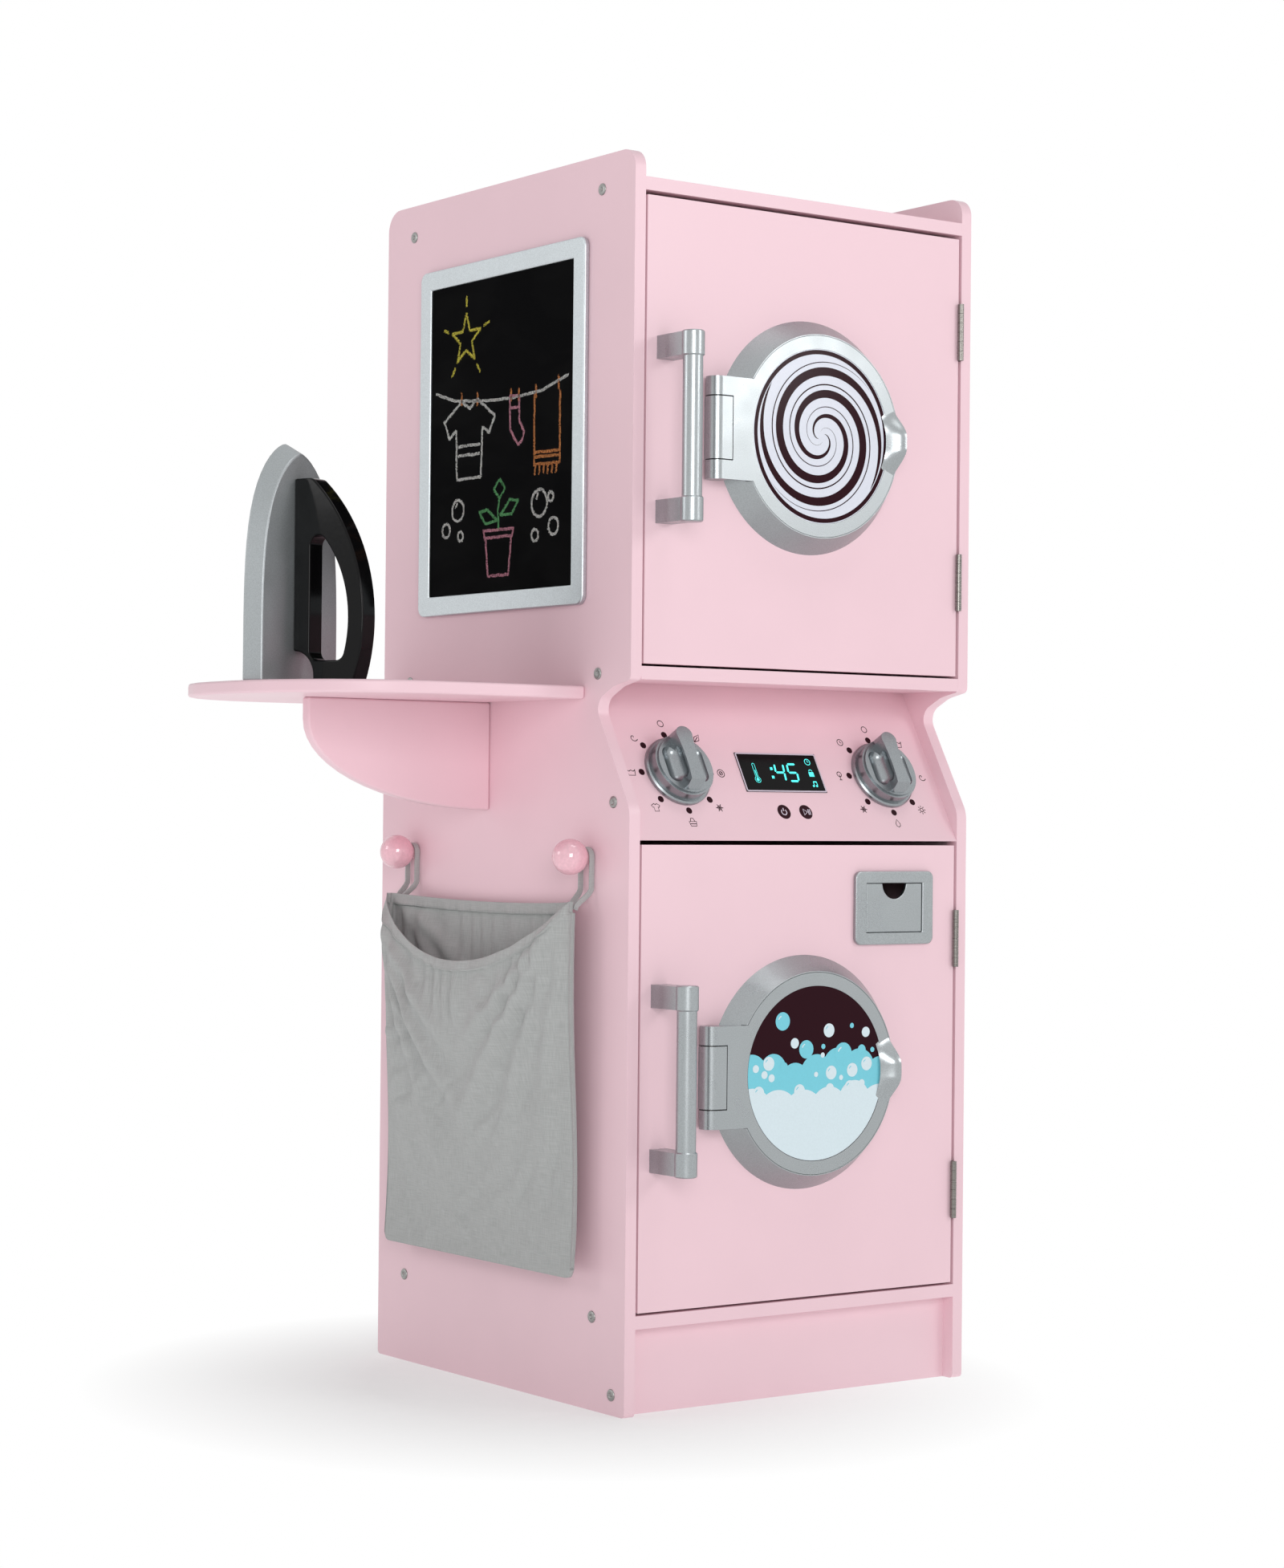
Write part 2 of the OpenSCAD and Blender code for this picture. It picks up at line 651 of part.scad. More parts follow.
module knob(side) color(silver) stand() on_panel(side * knob_x, knob_s) translate([0, 0, clearance])
    difference() {
        union() {
            cylinder(r = knob_r, h = skirt_h - skirt_edge);
            translate([0, 0, skirt_h - skirt_edge])
                cylinder(r1 = knob_r, r2 = knob_r - skirt_edge, h = skirt_edge);
            cylinder(r = drum_r, h = drum_h);
            cylinder(r = disc_r, h = disc_h);
            grip_bar();
        }
        for (side = [0, 1]) mirror([side, 0, 0]) scoop();
        translate([0, 0, -over]) cylinder(r = knob_bore_r, h = drum_h - 2 + over);
    }

module left_knob() knob(-1);

module right_knob() knob(1);

module knob_screw(side) color(zinc) stand() on_panel(side * knob_x, knob_s)
    translate([0, 0, -board_t - clearance]) {
        cylinder(r = knob_bore_r, h = board_t + 2 * clearance + drum_h - 4);
        translate([0, 0, -knob_screw_head[1]]) cylinder(r = knob_screw_head[0], h = knob_screw_head[1]);
    }

module left_knob_screw() knob_screw(-1);

module right_knob_screw() knob_screw(1);

// Iron, standing on its heel on the shelf; drawn with its handle towards -y

module at_iron() translate([iron_at[0], iron_at[1], shelf_z]) rotate([0, 0, iron_turn]) children();

// Half the sole's width at height z above the heel: full at the heel, blunt at the tip
function sole_half(z) = iron_w / 2 * pow(1 - pow(z / iron_l, 4.4), 1 / 1.5);

// The sole narrows towards the handle's side
module iron_sole() color(silver) stand() at_iron() rotate([90, 0, 0]) translate([0, 0, -iron_sole_t])
    linear_extrude(iron_sole_t, scale = iron_draft) polygon([
        for (a = [0:5:90]) [sole_half(iron_l * sin(a)), iron_l * sin(a)],
        for (a = [85:-5:0]) [-sole_half(iron_l * sin(a)), iron_l * sin(a)]]);

// Side view of the handle: a long curve from the top down to the heel, and a notch above the heel
module iron_handle_side() {
    curve_mid = [iron_handle_reach - iron_handle_curve, iron_handle_mid];
    top_mid = inner_round(curve_mid, iron_handle_curve, iron_round, iron_handle_top - iron_round);
    heel_angle = -asin(iron_handle_mid / iron_handle_curve);
    polygon(concat([[0, iron_handle_top]], arc(top_mid, iron_round, 90, bearing(curve_mid, top_mid)),
        arc(curve_mid, iron_handle_curve, bearing(curve_mid, top_mid), heel_angle, 24),
        [[iron_notch_r, 0]], arc([0, iron_notch_z], iron_notch_r, 0, 90)));
}

// The finger slot: straight beside the sole, curved like the handle outside, round at its ends
module iron_handle_slot() {
    curve_mid = [iron_slot_reach - iron_slot_curve, iron_handle_mid];
    top_mid = inner_round(curve_mid, iron_slot_curve, iron_round, iron_slot[2] - iron_round);
    low_mid = inner_round(curve_mid, iron_slot_curve, iron_round, iron_slot[1] + iron_round);
    polygon(concat(arc([iron_slot[0] + iron_round, top_mid[1]], iron_round, 180, 90),
        arc(top_mid, iron_round, 90, bearing(curve_mid, top_mid)),
        arc(curve_mid, iron_slot_curve, bearing(curve_mid, top_mid), bearing(curve_mid, low_mid), 24),
        arc(low_mid, iron_round, bearing(curve_mid, low_mid), -90),
        arc([iron_slot[0] + iron_round, low_mid[1]], iron_round, -90, -180)));
}

module iron_handle() color(black) stand() at_iron()
    upright_board(-iron_handle_t / 2, iron_handle_t) mirror([1, 0]) difference() {
        iron_handle_side();
        iron_handle_slot();
    }

// Laundry bag

// Plan of the bag's mouth: flat at the back, bulging at the front
module bag_plan(inset) {
    bulge_r = (pow(bag_w / 2, 2) + pow(bag_d, 2)) / (2 * bag_d);
    intersection() {
        translate([bulge_r - bag_d, 0]) circle(r = bulge_r - inset, $fn = 96);
        translate([-bag_d, -bag_w / 2]) square([bag_d - inset, bag_w]);
    }
}

module laundry_bag() color(cotton) stand() translate([side_x - bag_gap, side_mid, bag_top - bag_h])
    difference() {
        linear_extrude(bag_h) bag_plan(0);
        translate([0, 0, bag_wall]) linear_extrude(bag_h) bag_plan(bag_wall);
        translate([-bag_wall - bag_d, 0, bag_h + bag_w]) rotate([0, 90, 0])
            cylinder(r = bag_w + hem_sag, h = bag_d, $fn = 96);
    }

// Each loop is a strap that hangs on a peg's neck, behind the ball
module bag_loops() color(cotton) stand() for (side = [-1, 1])
    translate([side_x - loop_gap - loop_w, side_mid + side * peg_span / 2, 0]) {
        inner_r = peg_neck_r + clearance;
        upright_board(0, loop_w) difference() {
            union() {
                translate([0, peg_z]) circle(r = inner_r + loop_t);
                translate([-inner_r - loop_t, bag_top]) square([2 * (inner_r + loop_t), peg_z - bag_top]);
            }
            translate([0, peg_z]) circle(r = inner_r);
            translate([-inner_r, bag_top - over]) square([2 * inner_r, peg_z - bag_top + over]);
        }
    }

// The two doors with their hinges, catches, handles and portholes

module dryer_frame_hinge_leaves() frame_hinge_leaves(dryer_opening);

module dryer_hinge_pins() hinge_pins(dryer_opening);

module dryer_door_magnet() door_magnet(dryer_opening);

module dryer_door_board() color(pink) stand() door_board(dryer_opening, dryer_port_z);

module dryer_door_hinge_leaves() door_hinge_leaves(dryer_opening);

module dryer_door_strike() door_strike(dryer_opening);

module dryer_handle_bar() handle_bar(dryer_opening);

module dryer_handle_posts() handle_posts(dryer_opening);

module dryer_handle_screws() handle_screws(dryer_opening);

module dryer_porthole_bezel() porthole_bezel(dryer_port_z);

module dryer_porthole_pin() porthole_pin(dryer_port_z);

module dryer_porthole_lid() porthole_lid(dryer_port_z);

module dryer_porthole_window() porthole_window(dryer_port_z, dark_print);

module dryer_porthole_grip() porthole_grip(dryer_port_z);

module washer_frame_hinge_leaves() frame_hinge_leaves(washer_opening);

module washer_hinge_pins() hinge_pins(washer_opening);

module washer_door_magnet() door_magnet(washer_opening);

module washer_door_board() color(pink) stand() difference() {
    door_board(washer_opening, washer_port_z);
    on_front(drawer_x, drawer_z, board_t + over) linear_extrude(board_t + 2 * over)
        square([mouth_w + 2 * sleeve_t, mouth_h + 2 * sleeve_t], center = true);
}

module washer_door_hinge_leaves() door_hinge_leaves(washer_opening);

module washer_door_strike() door_strike(washer_opening);

module washer_handle_bar() handle_bar(washer_opening);

module washer_handle_posts() handle_posts(washer_opening);

module washer_handle_screws() handle_screws(washer_opening);

module washer_porthole_bezel() porthole_bezel(washer_port_z);

module washer_porthole_pin() porthole_pin(washer_port_z);

module washer_porthole_lid() porthole_lid(washer_port_z);

module washer_porthole_window() porthole_window(washer_port_z, foam_print);

module washer_porthole_grip() porthole_grip(washer_port_z);

left_side_panel();
right_side_panel();
top_board();
dryer_floor();
washer_floor();
kick_board();
dryer_back_panel();
washer_back_panel();
control_panel();
display_panel();
chalkboard_frame();
chalkboard();
ironing_shelf();
shelf_bracket();
bag_pegs();
cabinet_screws();
dryer_frame_hinge_leaves();
washer_frame_hinge_leaves();
dryer_hinge_pins();
washer_hinge_pins();
dryer_door_magnet();
washer_door_magnet();
dryer_door_board();
dryer_door_hinge_leaves();
dryer_door_strike();
dryer_handle_bar();
dryer_handle_posts();
dryer_handle_screws();
dryer_porthole_bezel();
dryer_porthole_pin();
dryer_porthole_lid();
dryer_porthole_window();
dryer_porthole_grip();
washer_door_board();
washer_door_hinge_leaves();
washer_door_strike();
washer_handle_bar();
washer_handle_posts();
washer_handle_screws();
washer_porthole_bezel();
washer_porthole_pin();
washer_porthole_lid();
washer_porthole_window();
washer_porthole_grip();
drawer_bezel();
drawer_front();
drawer_tray();
left_knob();
right_knob();
left_knob_screw();
right_knob_screw();
iron_sole();
iron_handle();
laundry_bag();
bag_loops();
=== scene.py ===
"""Looks of the toy laundry centre: painted boards, silver plastic, prints, chalk and cloth."""
import functools
import json
import math
import random

import bmesh
import bpy
from mathutils import Matrix, Vector, noise

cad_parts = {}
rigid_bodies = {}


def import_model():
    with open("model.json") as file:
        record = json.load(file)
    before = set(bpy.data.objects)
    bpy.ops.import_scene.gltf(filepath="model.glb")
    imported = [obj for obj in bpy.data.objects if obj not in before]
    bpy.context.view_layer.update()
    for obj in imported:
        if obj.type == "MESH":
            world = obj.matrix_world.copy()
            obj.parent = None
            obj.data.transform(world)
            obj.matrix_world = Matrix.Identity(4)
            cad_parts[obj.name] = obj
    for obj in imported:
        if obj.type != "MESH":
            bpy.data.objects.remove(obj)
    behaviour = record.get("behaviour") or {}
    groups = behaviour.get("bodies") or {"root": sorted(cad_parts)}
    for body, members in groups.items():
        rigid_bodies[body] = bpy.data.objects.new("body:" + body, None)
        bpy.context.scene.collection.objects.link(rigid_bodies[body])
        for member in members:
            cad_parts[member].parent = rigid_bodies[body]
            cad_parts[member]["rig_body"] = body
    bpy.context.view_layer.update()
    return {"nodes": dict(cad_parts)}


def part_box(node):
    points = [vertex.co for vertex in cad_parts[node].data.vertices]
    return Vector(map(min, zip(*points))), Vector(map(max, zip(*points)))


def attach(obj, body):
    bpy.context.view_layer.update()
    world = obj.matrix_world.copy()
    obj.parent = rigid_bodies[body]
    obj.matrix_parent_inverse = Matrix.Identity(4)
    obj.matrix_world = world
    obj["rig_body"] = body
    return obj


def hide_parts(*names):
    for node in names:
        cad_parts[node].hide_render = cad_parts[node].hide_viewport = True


bl_info = {
    "name": "Toy laundry centre",
    "version": (1, 0, 0),
    "blender": (4, 5, 0),
    "location": "View3D > Sidebar > Laundry",
    "description": "Builds the looks of a toy washing machine and dryer on its packed frame",
    "category": "Object",
}

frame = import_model()
DOORS = ("dryer", "washer")
MM = 0.001

# The cabinet's middle and front plane, from its side panels
LEFT_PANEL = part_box("left_side_panel")
RIGHT_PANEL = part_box("right_side_panel")
MIDDLE_X = (LEFT_PANEL[0].x + RIGHT_PANEL[1].x) / 2
FRONT_Y = LEFT_PANEL[0].y
SIDE_X = LEFT_PANEL[0].x

# The leaning control panel: its lower edge, its lean and where its printed parts stand on it
PANEL_Z = 454 * MM
PANEL_LEAN = math.radians(29.3)
KNOB_X = 108.6 * MM
KNOB_S = 62.3 * MM
DISPLAY_W = 85 * MM
DISPLAY_H = 36.5 * MM

# How far the display's digits lean to the side for their height
SLANT = 0.12

# Thickness of a printed layer, drawn thicker than ink so that it shows
INK = 0.05 * MM


# ---------------------------------------------------------------- colours and sizes

def srgb(code):
    """Linear colour with full alpha from an sRGB hex code."""
    parts = [int(code[i:i + 2], 16) / 255 for i in (1, 3, 5)]
    return tuple(c / 12.92 if c <= 0.04045 else ((c + 0.055) / 1.055) ** 2.4 for c in parts) + (1.0,)


def colour(name, code, description):
    """A colour property whose default is an sRGB hex code."""
    return bpy.props.FloatVectorProperty(name=name, description=description, subtype="COLOR", size=4,
                                         min=0.0, max=1.0, default=srgb(code))


def length(name, default_mm, description):
    """A length property, in metres, whose default is given in millimetres."""
    return bpy.props.FloatProperty(name=name, description=description, subtype="DISTANCE", unit="LENGTH",
                                   min=0.0, default=default_mm * MM, precision=4)


class LaundryColours(bpy.types.PropertyGroup):
    """Colours of the finishes and prints."""

    pink: colour("Pink", "#f0ced7", "Lacquer on the boards")
    silver: colour("Silver", "#a3a8aa", "Silver paint on the plastic parts")
    # Paler than the other silver as painted sheen: it stands in for the bright lamp reflection on the
    # chalkboard's frame
    frame_silver: colour("Frame silver", "#c3c9cc", "Paler silver paint on the chalkboard's frame")
    knob_silver: colour("Knob silver", "#969b9e", "Darker silver paint on the knobs")
    peg_pink: colour("Peg pink", "#efbcc8", "Gloss lacquer on the bag's pegs")
    steel: colour("Steel", "#85827e", "Plated hinges, pins and strikes")
    zinc: colour("Zinc", "#9c9c9a", "Screws")
    gloss_black: colour("Gloss black", "#0a0a0b", "Lacquer on the iron's handle")
    board_black: colour("Blackboard", "#040405", "Chalkboard face")
    print_dark: colour("Dark print", "#2a0914", "Dark ink of the porthole and panel prints")
    print_pale: colour("Pale print", "#dcdfea", "Pale ground of the dryer print")
    foam: colour("Foam", "#d7e6ec", "Pale foam of the washer print")
    water: colour("Water", "#78cddd", "Blue water and bubbles of the washer print")
    # The digits' colour, which they also emit as a painted glow: the printed display holds no lamp
    glow: colour("Display painted glow", "#4fe0da", "Digits of the display, with a painted glow")
    film: colour("Display film", "#060406", "Black film over the display")
    border: colour("Display border", "#cfc4d2", "Thin printed border round the display")
    cotton: colour("Cotton", "#b1b3b2", "Grey cloth of the bag")


class LaundrySizes(bpy.types.PropertyGroup):
    """Edge rounds and the sizes of small things that repeat."""

    board_edge: length("Board edge round", 2.2, "Round on the edges of the painted boards")
    plastic_edge: length("Plastic edge round", 0.9, "Round on the edges of the silver plastic")
    leaf_edge: length("Hinge leaf edge round", 0.5, "Round on the edges of the hinge leaves")
    iron_edge: length("Iron edge round", 1.6, "Round on the edges of the iron's sole")
    handle_edge: length("Iron handle edge round", 2.2, "Round on the edges of the iron's handle")
    dot_ring: length("Dot ring radius", 35.0, "Distance of the printed dots from a knob's middle")
    dot: length("Dot radius", 2.9, "Radius of a printed dot")
    icon_ring: length("Icon ring radius", 45.5, "Distance of the printed icons from a knob's middle")
    icon: length("Icon size", 4.6, "Half the height of a printed icon")
    icon_line: length("Icon line width", 0.7, "Width of the lines that draw an icon")
    key: length("Round key radius", 6.6, "Radius of the two printed round keys")
    chalk_line: length("Chalk line width", 2.3, "Width of a chalk line")
    stitch: length("Stitch length", 2.6, "Length of one stitch of the bag's hems")
    strap: length("Strap width", 4.8, "Width of the bag's loops")


class LaundryBag(bpy.types.PropertyGroup):
    """How the bag hangs."""

    front_sag: length("Front hem sag", 52.0, "How far the front hem hangs down at its middle")
    back_sag: length("Back hem sag", 4.0, "How far the back hem hangs down at its middle")
    seam_out: length("Seam distance", 18.0, "How far the side seams hang from the side panel")
    mouth: length("Mouth opening", 22.0, "How far the front sheet bulges past the seams at its hem")
    belly: length("Belly", 9.0, "How far the front sheet bulges past the seams at its middle")
    back_out: length("Back distance", 6.0, "How far the back sheet hangs from the side panel")
    wider: length("Foot width added", 6.0, "How much wider the bag is at its foot")
    hem: length("Hem width", 9.0, "Width of the turned and stitched hem")
    hem_rise: length("Hem rise", 2.6, "How far the folded hem stands out from the sheet")
    corner: length("Bottom corner round", 7.0, "Round of the bag's bottom corners")
    cloth: length("Cloth thickness", 0.7, "Thickness of the cotton")
    fold_depth: length("Fold depth", 9.5, "Depth of the deepest drag fold")
    seed: bpy.props.IntProperty(name="Seed", description="Picks the set of small creases", default=7)


# ---------------------------------------------------------------- nodes and materials

def add(tree, kind, inputs=None, **settings):
    """Adds a node with its settings, and links or fills its inputs."""
    made = tree.nodes.new(kind)
    for name, value in settings.items():
        setattr(made, name, value)
    for name, value in (inputs or {}).items():
        if isinstance(value, bpy.types.NodeSocket):
            tree.links.new(value, made.inputs[name])
        else:
            made.inputs[name].default_value = value
    return made


def maths(tree, operation, *values):
    """The result of a maths node."""
    return add(tree, "ShaderNodeMath", dict(enumerate(values)), operation=operation).outputs[0]


def position(tree):
    """Object coordinates in metres."""
    return add(tree, "ShaderNodeTexCoord").outputs["Object"]


def speckle(tree, place, scale, detail, **more):
    """The value of a noise texture."""
    inputs = {"Vector": place, "Scale": scale, "Detail": detail, **more}
    return add(tree, "ShaderNodeTexNoise", inputs).outputs["Fac"]


def ramp_between(tree, factor, low, high, dark, light):
    """Maps a texture's range low..high to the range dark..light."""
    return add(tree, "ShaderNodeMapRange", {"Value": factor, "From Min": low, "From Max": high,
                                            "To Min": dark, "To Max": light}).outputs["Result"]


def mixed(tree, base, other, factor):
    """A colour between two colours, by a texture."""
    return add(tree, "ShaderNodeMix", {0: factor, 6: base, 7: other}, data_type="RGBA").outputs[2]


def shaded(code, share):
    """A colour made darker (share below 1) or lighter (above 1)."""
    return tuple(min(1.0, c * share) for c in code[:3]) + (1.0,)


class Paint:
    """A material with textures in object coordinates, or on a named UV map."""

    def __init__(self, name, values, uv_map=None):
        self.material = bpy.data.materials.new(name)
        self.material.use_nodes = True
        self.tree = self.material.node_tree
        self.shader = self.tree.nodes["Principled BSDF"].inputs
        for socket, value in values.items():
            self.shader[socket].default_value = value
        if uv_map:
            self.place = add(self.tree, "ShaderNodeUVMap", uv_map=uv_map).outputs["UV"]
        else:
            self.place = position(self.tree)

    def speckle(self, scale, detail):
        """Even noise, with its scale in features per metre."""
        return speckle(self.tree, self.place, scale, detail)

    def lines(self, stretch, detail, scale=1.0, turn=0.0, distortion=0.0):
        """Noise whose coordinates are stretched, so that it runs in lines."""
        place = add(self.tree, "ShaderNodeMapping", {"Vector": self.place, "Scale": stretch,
                                                     "Rotation": (turn, 0.0, 0.0)})
        return speckle(self.tree, place.outputs["Vector"], scale, detail, Distortion=distortion)

    def colour(self, base, other, texture, low=0.3, high=0.7, most=1.0):
        """Colours the surface from base to other over a texture's range low..high."""
        made = mixed(self.tree, base, other, ramp_between(self.tree, texture, low, high, 0.0, most))
        self.tree.links.new(made, self.shader["Base Color"])
        return made

    def shades(self, code, dark, light, texture):
        """Colours the surface with two shades of one colour."""
        return self.colour(shaded(code, dark), shaded(code, light), texture)

    def gloss(self, texture, low, high):
        """Roughness from low to high over a texture."""
        self.tree.links.new(ramp_between(self.tree, texture, 0.3, 0.7, low, high), self.shader["Roughness"])

    def bump(self, texture, strength, depth_mm):
        """Raises and sinks the surface by a texture."""
        made = add(self.tree, "ShaderNodeBump", {"Height": texture, "Strength": strength,
                                                 "Distance": depth_mm * MM})
        self.tree.links.new(made.outputs["Normal"], self.shader["Normal"])


def satin_lacquer(name, code):
    """Sprayed lacquer on fibreboard: an even satin sheen over a faint orange peel of about 1.5 mm."""
    paint = Paint(name, {"Specular IOR Level": 0.35})
    clouds = paint.speckle(14.0, 3.0)
    even = paint.shades(code, 0.985, 1.01, clouds)
    paint.colour(even, shaded(code, 0.93), paint.speckle(900.0, 2.0), 0.35, 0.75, 0.10)
    paint.gloss(clouds, 0.33, 0.40)
    paint.bump(paint.speckle(650.0, 1.0), 0.22, 0.12)
    return paint.material


def silver_paint(name, code, roughness=0.3, metal=1.0):
    """Silver flake paint on moulded plastic: a soft metal sheen with a fine grain of flakes."""
    paint = Paint(name, {"Metallic": metal})
    flakes = paint.speckle(1500.0, 2.0)
    paint.shades(code, 0.86, 1.14, flakes)
    paint.gloss(paint.speckle(35.0, 2.0), roughness - 0.04, roughness + 0.05)
    paint.bump(flakes, 0.08, 0.02)
    return paint.material


def plated_metal(name, code, roughness=0.24):
    """Plated sheet steel: fine polishing lines and a bright sheen."""
    paint = Paint(name, {"Metallic": 1.0})
    lines = paint.lines((40.0, 40.0, 1600.0), 4.0)
    paint.shades(code, 0.8, 1.12, lines)
    paint.gloss(lines, roughness - 0.06, roughness + 0.1)
    paint.bump(lines, 0.2, 0.03)
    return paint.material


def gloss_plastic(name, code, roughness, specular):
    """Glossy moulded plastic or thick lacquer: a mirror-like skin with faint waviness."""
    paint = Paint(name, {"Specular IOR Level": specular})
    mottle = paint.speckle(420.0, 3.0)
    paint.shades(code, 0.94, 1.06, mottle)
    paint.gloss(mottle, roughness, roughness + 0.05)
    paint.bump(paint.speckle(55.0, 1.0), 0.12, 0.3)
    return paint.material


def printed_ink(name, code, roughness=0.14, specular=0.3, glow=0.0):
    """Screen-printed ink under a clear gloss: even colour with the faint mottle of ink. A painted glow above
    0 makes the ink emit light, though nothing in it is a lamp.
    """
    paint = Paint(name, {"Specular IOR Level": specular, "Emission Strength": glow, "Emission Color": code})
    mottle = paint.speckle(700.0, 3.0)
    paint.shades(code, 0.98, 1.02, mottle)
    paint.gloss(mottle, roughness, roughness + 0.04)
    return paint.material


def blackboard(name, code):
    """Blackboard paint: near black and matt, with a thin haze of wiped chalk."""
    paint = Paint(name, {"Roughness": 0.8, "Specular IOR Level": 0.03})
    haze = paint.lines((1.0, 5.0, 12.0), 5.0, 2.2, 0.5, 0.6)
    paint.colour(code, srgb("#d8d8d4"), haze, 0.45, 0.8, 0.005)
    paint.bump(paint.speckle(1100.0, 2.0), 0.3, 0.06)
    return paint.material


def chalk(name, code):
    """Dry chalk: powdery and matt, uneven from grain to grain."""
    paint = Paint(name, {"Roughness": 0.95, "Specular IOR Level": 0.1})
    paint.shades(code, 0.92, 1.2, paint.speckle(1600.0, 2.0))
    return paint.material


def thread(name, code):
    """Matt sewing thread, a little darker than the cloth: partly the thread's own tone, partly painted shade
    for the shadow line along the stitched hem.
    """
    return chalk(name, shaded(code, 0.9))


def plain_weave(name, code):
    """Washed cotton in plain weave. The real threads lie 0.4 mm apart, too fine to show, so they are
    drawn 0.9 mm apart. Colour and height both follow the threads, with slubs along them."""
    paint = Paint(name, {"Roughness": 0.88, "Specular IOR Level": 0.2, "Sheen Weight": 0.25,
                         "Sheen Roughness": 0.5}, "cloth")
    tree, turns = paint.tree, 2 * math.pi / (0.9 * MM)
    split = add(tree, "ShaderNodeSeparateXYZ", {"Vector": paint.place}).outputs
    threads = [maths(tree, "SINE", maths(tree, "MULTIPLY", split[axis], turns)) for axis in ("X", "Y")]
    slubs = [paint.lines(stretch, 2.0) for stretch in ((1400.0, 90.0, 1.0), (70.0, 1400.0, 1.0))]
    yarn = maths(tree, "ADD", *slubs)
    paint.colour(shaded(code, 0.86), shaded(code, 1.08), yarn, 0.7, 1.3)
    paint.bump(maths(tree, "MULTIPLY_ADD", maths(tree, "MULTIPLY", *threads), 0.35, yarn), 0.35, 0.25)
    return paint.material


# The maker of each finish, its title, its colour among the scene's colours and the maker's own values
RECIPES = {
    "board_lacquer": (satin_lacquer, "Satin lacquer on fibreboard", "pink"),
    "peg_lacquer": (gloss_plastic, "Gloss lacquer on beech", "peg_pink", 0.06, 1.0),
    "silver_paint": (silver_paint, "Silver paint on ABS", "silver"),
    # The frame's silver is paled as painted sheen, standing in for the lamp reflection it catches
    "frame_paint_painted_sheen": (silver_paint, "Pale silver paint on ABS", "frame_silver", 0.36),
    "sole_paint": (silver_paint, "Satin silver paint on wood", "silver", 0.42, 0.7),
    "knob_paint": (silver_paint, "Grey silver paint on ABS", "knob_silver"),
    "plated_steel": (plated_metal, "Nickel-plated steel", "steel"),
    "zinc": (plated_metal, "Zinc-plated steel", "zinc", 0.3),
    "black_lacquer": (gloss_plastic, "Black gloss lacquer on wood", "gloss_black", 0.08, 0.16),
    "black_plastic": (gloss_plastic, "Black polypropylene", "gloss_black", 0.35, 0.3),
    "blackboard": (blackboard, "Blackboard paint", "board_black"),
    "display": (printed_ink, "Display film", "film", 0.1, 0.12),
    "border": (printed_ink, "Border ink", "border"),
    # Painted glow: the printed digits and signs emit light though the display holds no lamp
    "glow": (printed_ink, "Glowing digits", "glow", 0.3, 0.2, 0.9),
    "print_dark": (printed_ink, "Dark ink under clear acrylic", "print_dark", 0.1, 0.08),
    "print_pale": (printed_ink, "Pale ink under clear acrylic", "print_pale"),
    "foam": (printed_ink, "Foam ink under clear acrylic", "foam"),
    "water": (printed_ink, "Water ink under clear acrylic", "water"),
    "panel_ink": (printed_ink, "Panel ink", "print_dark", 0.45, 0.1),
    "cotton": (plain_weave, "Washed grey cotton", "cotton"),
    # The thread's darker tone is partly painted shade along the hem's stitching
    "thread": (thread, "Cotton sewing thread", "cotton"),
}


@functools.cache
def finish(name):
    """The named finish, made once from the scene's colours."""
    maker, title, shade, *values = RECIPES[name]
    return maker(title, tuple(getattr(bpy.context.scene.laundry_colours, shade)), *values)


# ---------------------------------------------------------------- places and pieces

def on_front(x, z, out):
    """Place drawn with +z out of a door: x from the cabinet's middle, z up from the floor."""
    return Matrix(((1, 0, 0, MIDDLE_X + x), (0, 0, -1, FRONT_Y - out), (0, 1, 0, z), (0, 0, 0, 1)))


def on_panel(s=0.0, out=0.0):
    """Place drawn with +z out of the control panel's middle: s is measured up its slope."""
    sine, cosine = math.sin(PANEL_LEAN), math.cos(PANEL_LEAN)
    return Matrix(((1, 0, 0, MIDDLE_X), (0, sine, -cosine, FRONT_Y + s * sine - out * cosine),
                   (0, cosine, sine, PANEL_Z + s * cosine + out * sine), (0, 0, 0, 1)))


def on_left_side(y, z, out):
    """Place drawn with +z out of the left side panel and +x towards the front."""
    return Matrix(((0, 0, -1, SIDE_X - out), (-1, 0, 0, y), (0, 1, 0, z), (0, 0, 0, 1)))


def linked(name, data):
    """A new object in the scene."""
    made = bpy.data.objects.new(name, data)
    bpy.context.scene.collection.objects.link(made)
    return made


def piece_from(name, mesh, body, slot, *nodes):
    """Links a finished mesh as a piece that rides on a body and may stand for CAD nodes."""
    made = linked(name, mesh)
    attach(made, body)
    if nodes:
        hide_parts(*nodes)
    return made


def mesh_from(name, shape, *finishes, smooth=False):
    """A mesh from a bmesh, with its finishes in order."""
    mesh = bpy.data.meshes.new(name)
    shape.to_mesh(mesh)
    shape.free()
    if smooth:
        for polygon in mesh.polygons:
            polygon.use_smooth = True
    for finish_name in finishes:
        mesh.materials.append(finish(finish_name))
    return mesh


def coated(mesh, finish_name):
    """The mesh with one finish."""
    mesh.materials.clear()
    mesh.materials.append(finish(finish_name))
    return mesh


def drawn(name, shape, place, finishes, body, slot):
    """A piece from a bmesh drawn in a local place."""
    shape.transform(place)
    return piece_from(name, mesh_from(name, shape, *finishes), body, slot)


def evaluated_mesh(temporary):
    """The mesh of an object with its modifiers applied; the object itself is removed."""
    depsgraph = bpy.context.evaluated_depsgraph_get()
    made = bpy.data.meshes.new_from_object(temporary.evaluated_get(depsgraph))
    data = temporary.data
    bpy.data.objects.remove(temporary)
    if data.users == 0 and isinstance(data, bpy.types.Mesh):
        bpy.data.meshes.remove(data)
    return made


